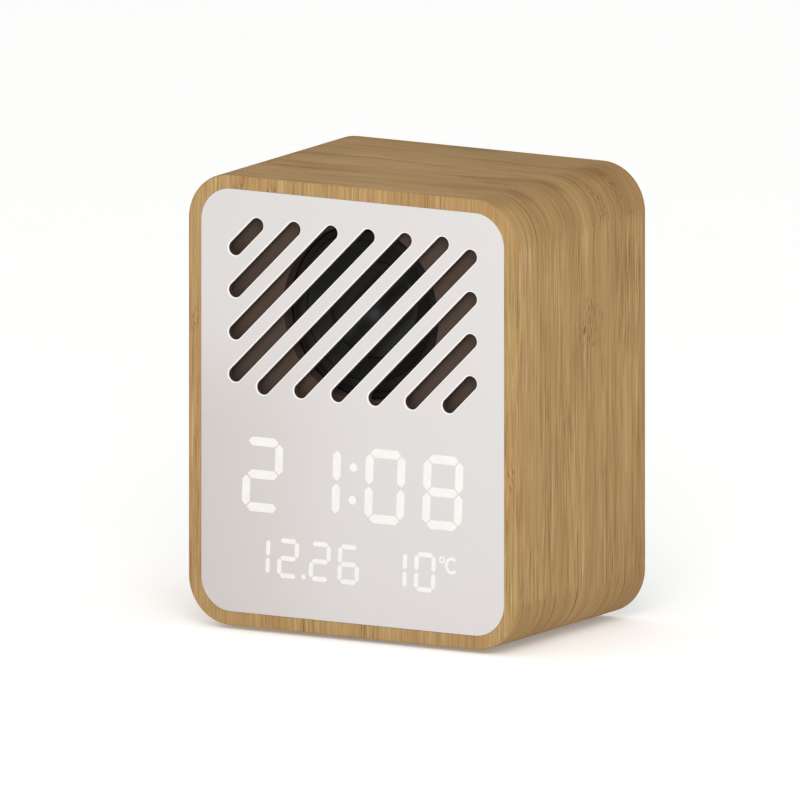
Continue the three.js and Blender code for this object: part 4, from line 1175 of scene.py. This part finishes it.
def make_slider():
    low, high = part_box("power_slider")
    x, z = centre_of("power_slider")
    bm = bmesh.new()
    apron = rounded_rectangle(high.x - low.x, high.z - low.z, 0.8 * MM, x, z, steps=5)
    add_plate(bm, apron, [], FLANGE_BACK - 0.8 * MM, FLANGE_BACK, 0.1 * MM, 0.1 * MM)
    knob = rounded_rectangle(4 * MM, 3.4 * MM, 0.5 * MM, x, z, steps=6)
    add_plate(bm, knob, [], FLANGE_BACK - 0.2 * MM, high.y - 0.25 * MM, 0.1 * MM, 0.3 * MM)
    for i in range(4):
        ridge_x = x + (i - 1.5) * 0.85 * MM
        ridge = rounded_rectangle(0.4 * MM, 2.7 * MM, 0.19 * MM, ridge_x, z, steps=4)
        add_plate(bm, ridge, [], high.y - 0.6 * MM, high.y - 0.02 * MM, 0.05 * MM, 0.12 * MM)
    stem = rounded_rectangle(1.2 * MM, 1.2 * MM, 0.2 * MM, x, z, steps=3)
    add_plate(bm, stem, [], low.y, FLANGE_BACK - 0.5 * MM, 0.1 * MM, 0.05 * MM)
    plastic = moulded("slider_white", rgb(214, 209, 205), 0.45, grain=0.5, depth=0.01)
    finish_piece("slider_knob", bm, plastic, ["power_slider"], "power_slider")


def make_socket():
    low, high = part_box("charging_socket")
    x, z = centre_of("charging_socket")
    width = high.x - low.x
    height = high.z - low.z
    bm = bmesh.new()
    outer = rounded_rectangle(width, height, height / 2 - 0.1 * MM, x, z)
    inner = rounded_rectangle(
        width - 0.6 * MM, height - 0.6 * MM, height / 2 - 0.4 * MM, x, z
    )
    add_plate(bm, outer, [inner], low.y, high.y, 0.05 * MM, 0.12 * MM, 0.05 * MM)
    floor = high.y - 5.4 * MM
    add_plate(bm, inner, [], low.y + 0.1 * MM, floor, 0.02 * MM, 0.02 * MM)
    steel = metal("socket_steel", rgb(196, 197, 198), 0.25, direction=(4, 0.3, 4))
    finish_piece("socket_shell", bm, steel, ["charging_socket"])
    bm = bmesh.new()
    tongue = rounded_rectangle(6.7 * MM, 0.7 * MM, 0.12 * MM, x, z, steps=3)
    add_plate(bm, tongue, [], floor - 0.05 * MM, floor + 4.4 * MM, 0.02 * MM, 0.1 * MM)
    resin = moulded("socket_resin", rgb(26, 26, 27), 0.5, grain=0.3, depth=0.01)
    finish_piece("socket_tongue", bm, resin)
    bm = bmesh.new()
    for side in (-1, 1):
        for i in range(12):
            contact_x = x + (i - 5.5) * 0.5 * MM
            contact = rounded_rectangle(
                0.26 * MM, 0.08 * MM, 0.02 * MM, contact_x, z + side * 0.36 * MM, steps=2
            )
            add_plate(bm, contact, [], floor, floor + 3.9 * MM, 0.01 * MM, 0.02 * MM)
    gold = metal("contact_gold", rgb(214, 170, 90), 0.25)
    finish_piece("socket_contacts", bm, gold)


def make_feet():
    rubber = moulded("foot_rubber", rgb(46, 45, 44), 0.8, grain=0.4, depth=0.03, specular=0.25)
    for number, node in enumerate(four("foot"), start=1):
        low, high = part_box(node)
        x = (low.x + high.x) / 2
        y = (low.y + high.y) / 2
        radius = (high.x - low.x) / 2
        top = case_low.z + 0.1 * MM
        profile = [
            (0, 0.12 * MM), (radius * 0.55, 0.12 * MM), (radius * 0.62, 0), (radius * 0.9, 0),
            (radius, 0.3 * MM), (radius, top), (0, top),
        ]
        bm = bmesh.new()
        softened = soften(profile, 0.25 * MM, closed=False)
        add_turned(bm, softened, x, y, 48, closed=False, upright=True)
        finish_piece(f"rubber_foot_{number}", bm, rubber, [node])


# ---- sealed pieces


def board_material():
    """Green solder mask over a maze of copper tracks, with tinned pads."""
    shader = Shader("board_green", 0.35, specular=0.5)
    place = shader.object_mm()
    flat = shader.stretch(place, (1, 0, 1))
    inputs = {"Vector": flat, "Scale": 0.45}
    cells = shader.add("ShaderNodeTexVoronoi", inputs, "Distance", distance="CHEBYCHEV")
    tracks = shader.smooth(shader.math("PINGPONG", cells, 0.25), 0.1, 0.14)
    pads = shader.add("ShaderNodeTexVoronoi", {"Vector": flat, "Scale": 0.5}, "Distance")
    pad = shader.smooth(pads, 0.2, 0.16)
    green = shader.mix(tracks, rgb(22, 74, 46), rgb(34, 98, 60))
    shader.colour(shader.mix(pad, green, rgb(190, 186, 170)))
    shader.roughness(pad * -0.05 + 0.35)
    shader.bump(tracks, 0.02 * MM)
    return shader.material


def cloth_material(name, colour):
    """Woven cloth dipped in resin."""
    shader = Shader(name, 0.8, specular=0.2)
    place = shader.object_mm()
    weave = shader.add("ShaderNodeTexChecker", {"Vector": place, "Scale": 2.5}, "Fac")
    clouds = shader.noise(place, detail=3, scale=0.4)
    share = clouds * 0.7 + Signal(shader, weave) * 0.3
    shader.colour(shader.mix(share, shade(colour, 0.75), colour))
    shader.roughness(clouds * 0.2 + 0.7)
    shader.bump(weave, 0.03 * MM)
    return shader.material


def dress_sealed_nodes():
    """Gives every CAD node that no piece replaces the material of its slot."""
    black = moulded("sealed_black", rgb(28, 28, 28), 0.55)
    steel = metal("zinc_steel", rgb(176, 177, 178), 0.32)
    by_slot = {
        "lit_diffuser": moulded("diffuser_film", rgb(240, 238, 232), 0.4, depth=0.005),
        "black_plastic": black,
        "circuit_board": board_material(),
        "bright_screw": steel,
        "dark_screw": metal("dark_steel", rgb(86, 86, 89), 0.4),
        "ribbon": moulded("ribbon_film", rgb(214, 214, 208), 0.35, depth=0.005),
        "basket_steel": metal("basket_black", rgb(52, 52, 54), 0.5),
        "coil_copper": metal("coil_wire", rgb(190, 105, 58), 0.3, direction=(1, 12, 1)),
        "spider_cloth": cloth_material("spider_cloth", rgb(204, 168, 100)),
        "motor_steel": steel,
        "ferrite": moulded("ferrite_black", rgb(46, 46, 48), 0.6, grain=0.8, depth=0.03),
        "tag_board": moulded("tag_board", rgb(140, 108, 62), 0.6),
        "red_cable": moulded("cable_red", rgb(140, 34, 32), 0.45),
        "black_cable": moulded("cable_black", rgb(30, 30, 31), 0.45),
        "plunger_plastic": moulded("plunger_white", rgb(190, 186, 178), 0.5),
        "tinned_steel": metal("tinned_steel", rgb(188, 189, 190), 0.25),
        "cell_wrap": moulded("cell_wrap", rgb(48, 112, 144), 0.3, depth=0.005),
        "sensor_resin": moulded("sensor_resin", rgb(34, 38, 44), 0.25, depth=0.005),
    }
    slots = {part["node"]: part["material_slot"] for part in frame["record"]["subparts"]}
    for name, node in frame["nodes"].items():
        if node.hide_render:
            continue
        material = by_slot[slots[name]]
        node.data.materials.clear()
        node.data.materials.append(material)


# ---- stage, lights, camera

VIEW_AZIMUTH = math.radians(30)
VIEW_ELEVATION = math.radians(10)
VIEW_SCALE = 210.86 * MM
VIEW_RIGHT = 12.52 * MM
VIEW_UP = 3.22 * MM
VIEW_DISTANCE = 0.8

KEY_PLACE = Vector((0.32, -0.53, 0.37))
KEY_SIZE = 0.35
KEY_POWER = 1.9
WORLD_LIGHT = 0.8
FLOOR_HALF = 4.0
FLOOR_GLOW = 0.2


def make_camera():
    """An orthographic camera, looking 30 degrees round and 10 degrees down."""
    turn = Euler((math.radians(90) - VIEW_ELEVATION, 0, VIEW_AZIMUTH))
    offset = Vector((VIEW_RIGHT, VIEW_UP, VIEW_DISTANCE))
    data = bpy.data.cameras.new("camera")
    data.type = "ORTHO"
    data.ortho_scale = VIEW_SCALE
    data.clip_start = 0.01
    data.clip_end = 10
    camera = add_object("camera", data)
    camera.location = Vector((0, FRONT, MIDDLE)) + turn.to_matrix() @ offset
    camera.rotation_euler = turn
    bpy.context.scene.camera = camera


def make_key_light():
    """One soft round light in front, up and to the right."""
    data = bpy.data.lights.new("key", "AREA")
    data.shape = "DISK"
    data.size = KEY_SIZE
    data.energy = KEY_POWER
    light = add_object("key", data)
    light.location = KEY_PLACE
    towards = Vector((0, FRONT, MIDDLE)) - KEY_PLACE
    light.rotation_euler = towards.to_track_quat("-Z", "Y").to_euler()


def make_stage():
    """A plain pale floor, just below the feet."""
    sides = ((-1, -1), (1, -1), (1, 1), (-1, 1))
    corners = [(x * FLOOR_HALF, y * FLOOR_HALF, -0.05 * MM) for x, y in sides]
    mesh = bpy.data.meshes.new("floor")
    mesh.from_pydata(corners, [], [(0, 1, 2, 3)])
    floor = add_object("floor", mesh)
    shader = Shader("floor_pale", 0.7, specular=0.2)
    clouds = shader.noise(shader.object_mm(), detail=2, scale=0.01)
    shader.colour(shader.mix(clouds, rgb(249, 249, 248), rgb(251, 251, 250)))
    shader.glow((1.0, 1.0, 1.0, 1.0), FLOOR_GLOW)
    mesh.materials.append(shader.material)


def make_world():
    world = bpy.data.worlds.new("studio")
    world.use_nodes = True
    background = world.node_tree.nodes["Background"]
    background.inputs["Color"].default_value = (1.0, 1.0, 1.0, 1.0)
    background.inputs["Strength"].default_value = WORLD_LIGHT
    bpy.context.scene.world = world
    bpy.context.scene.view_settings.view_transform = "Standard"


# ---- build

make_camera()
make_world()
make_stage()
make_key_light()

make_case()
make_panel()
make_digits()
make_chassis()
make_gasket()
make_surround()
make_cone()
make_dust_cap()
make_rear_cover()
make_rear_screws()
make_buttons()
make_slider()
make_socket()
make_feet()
dress_sealed_nodes()
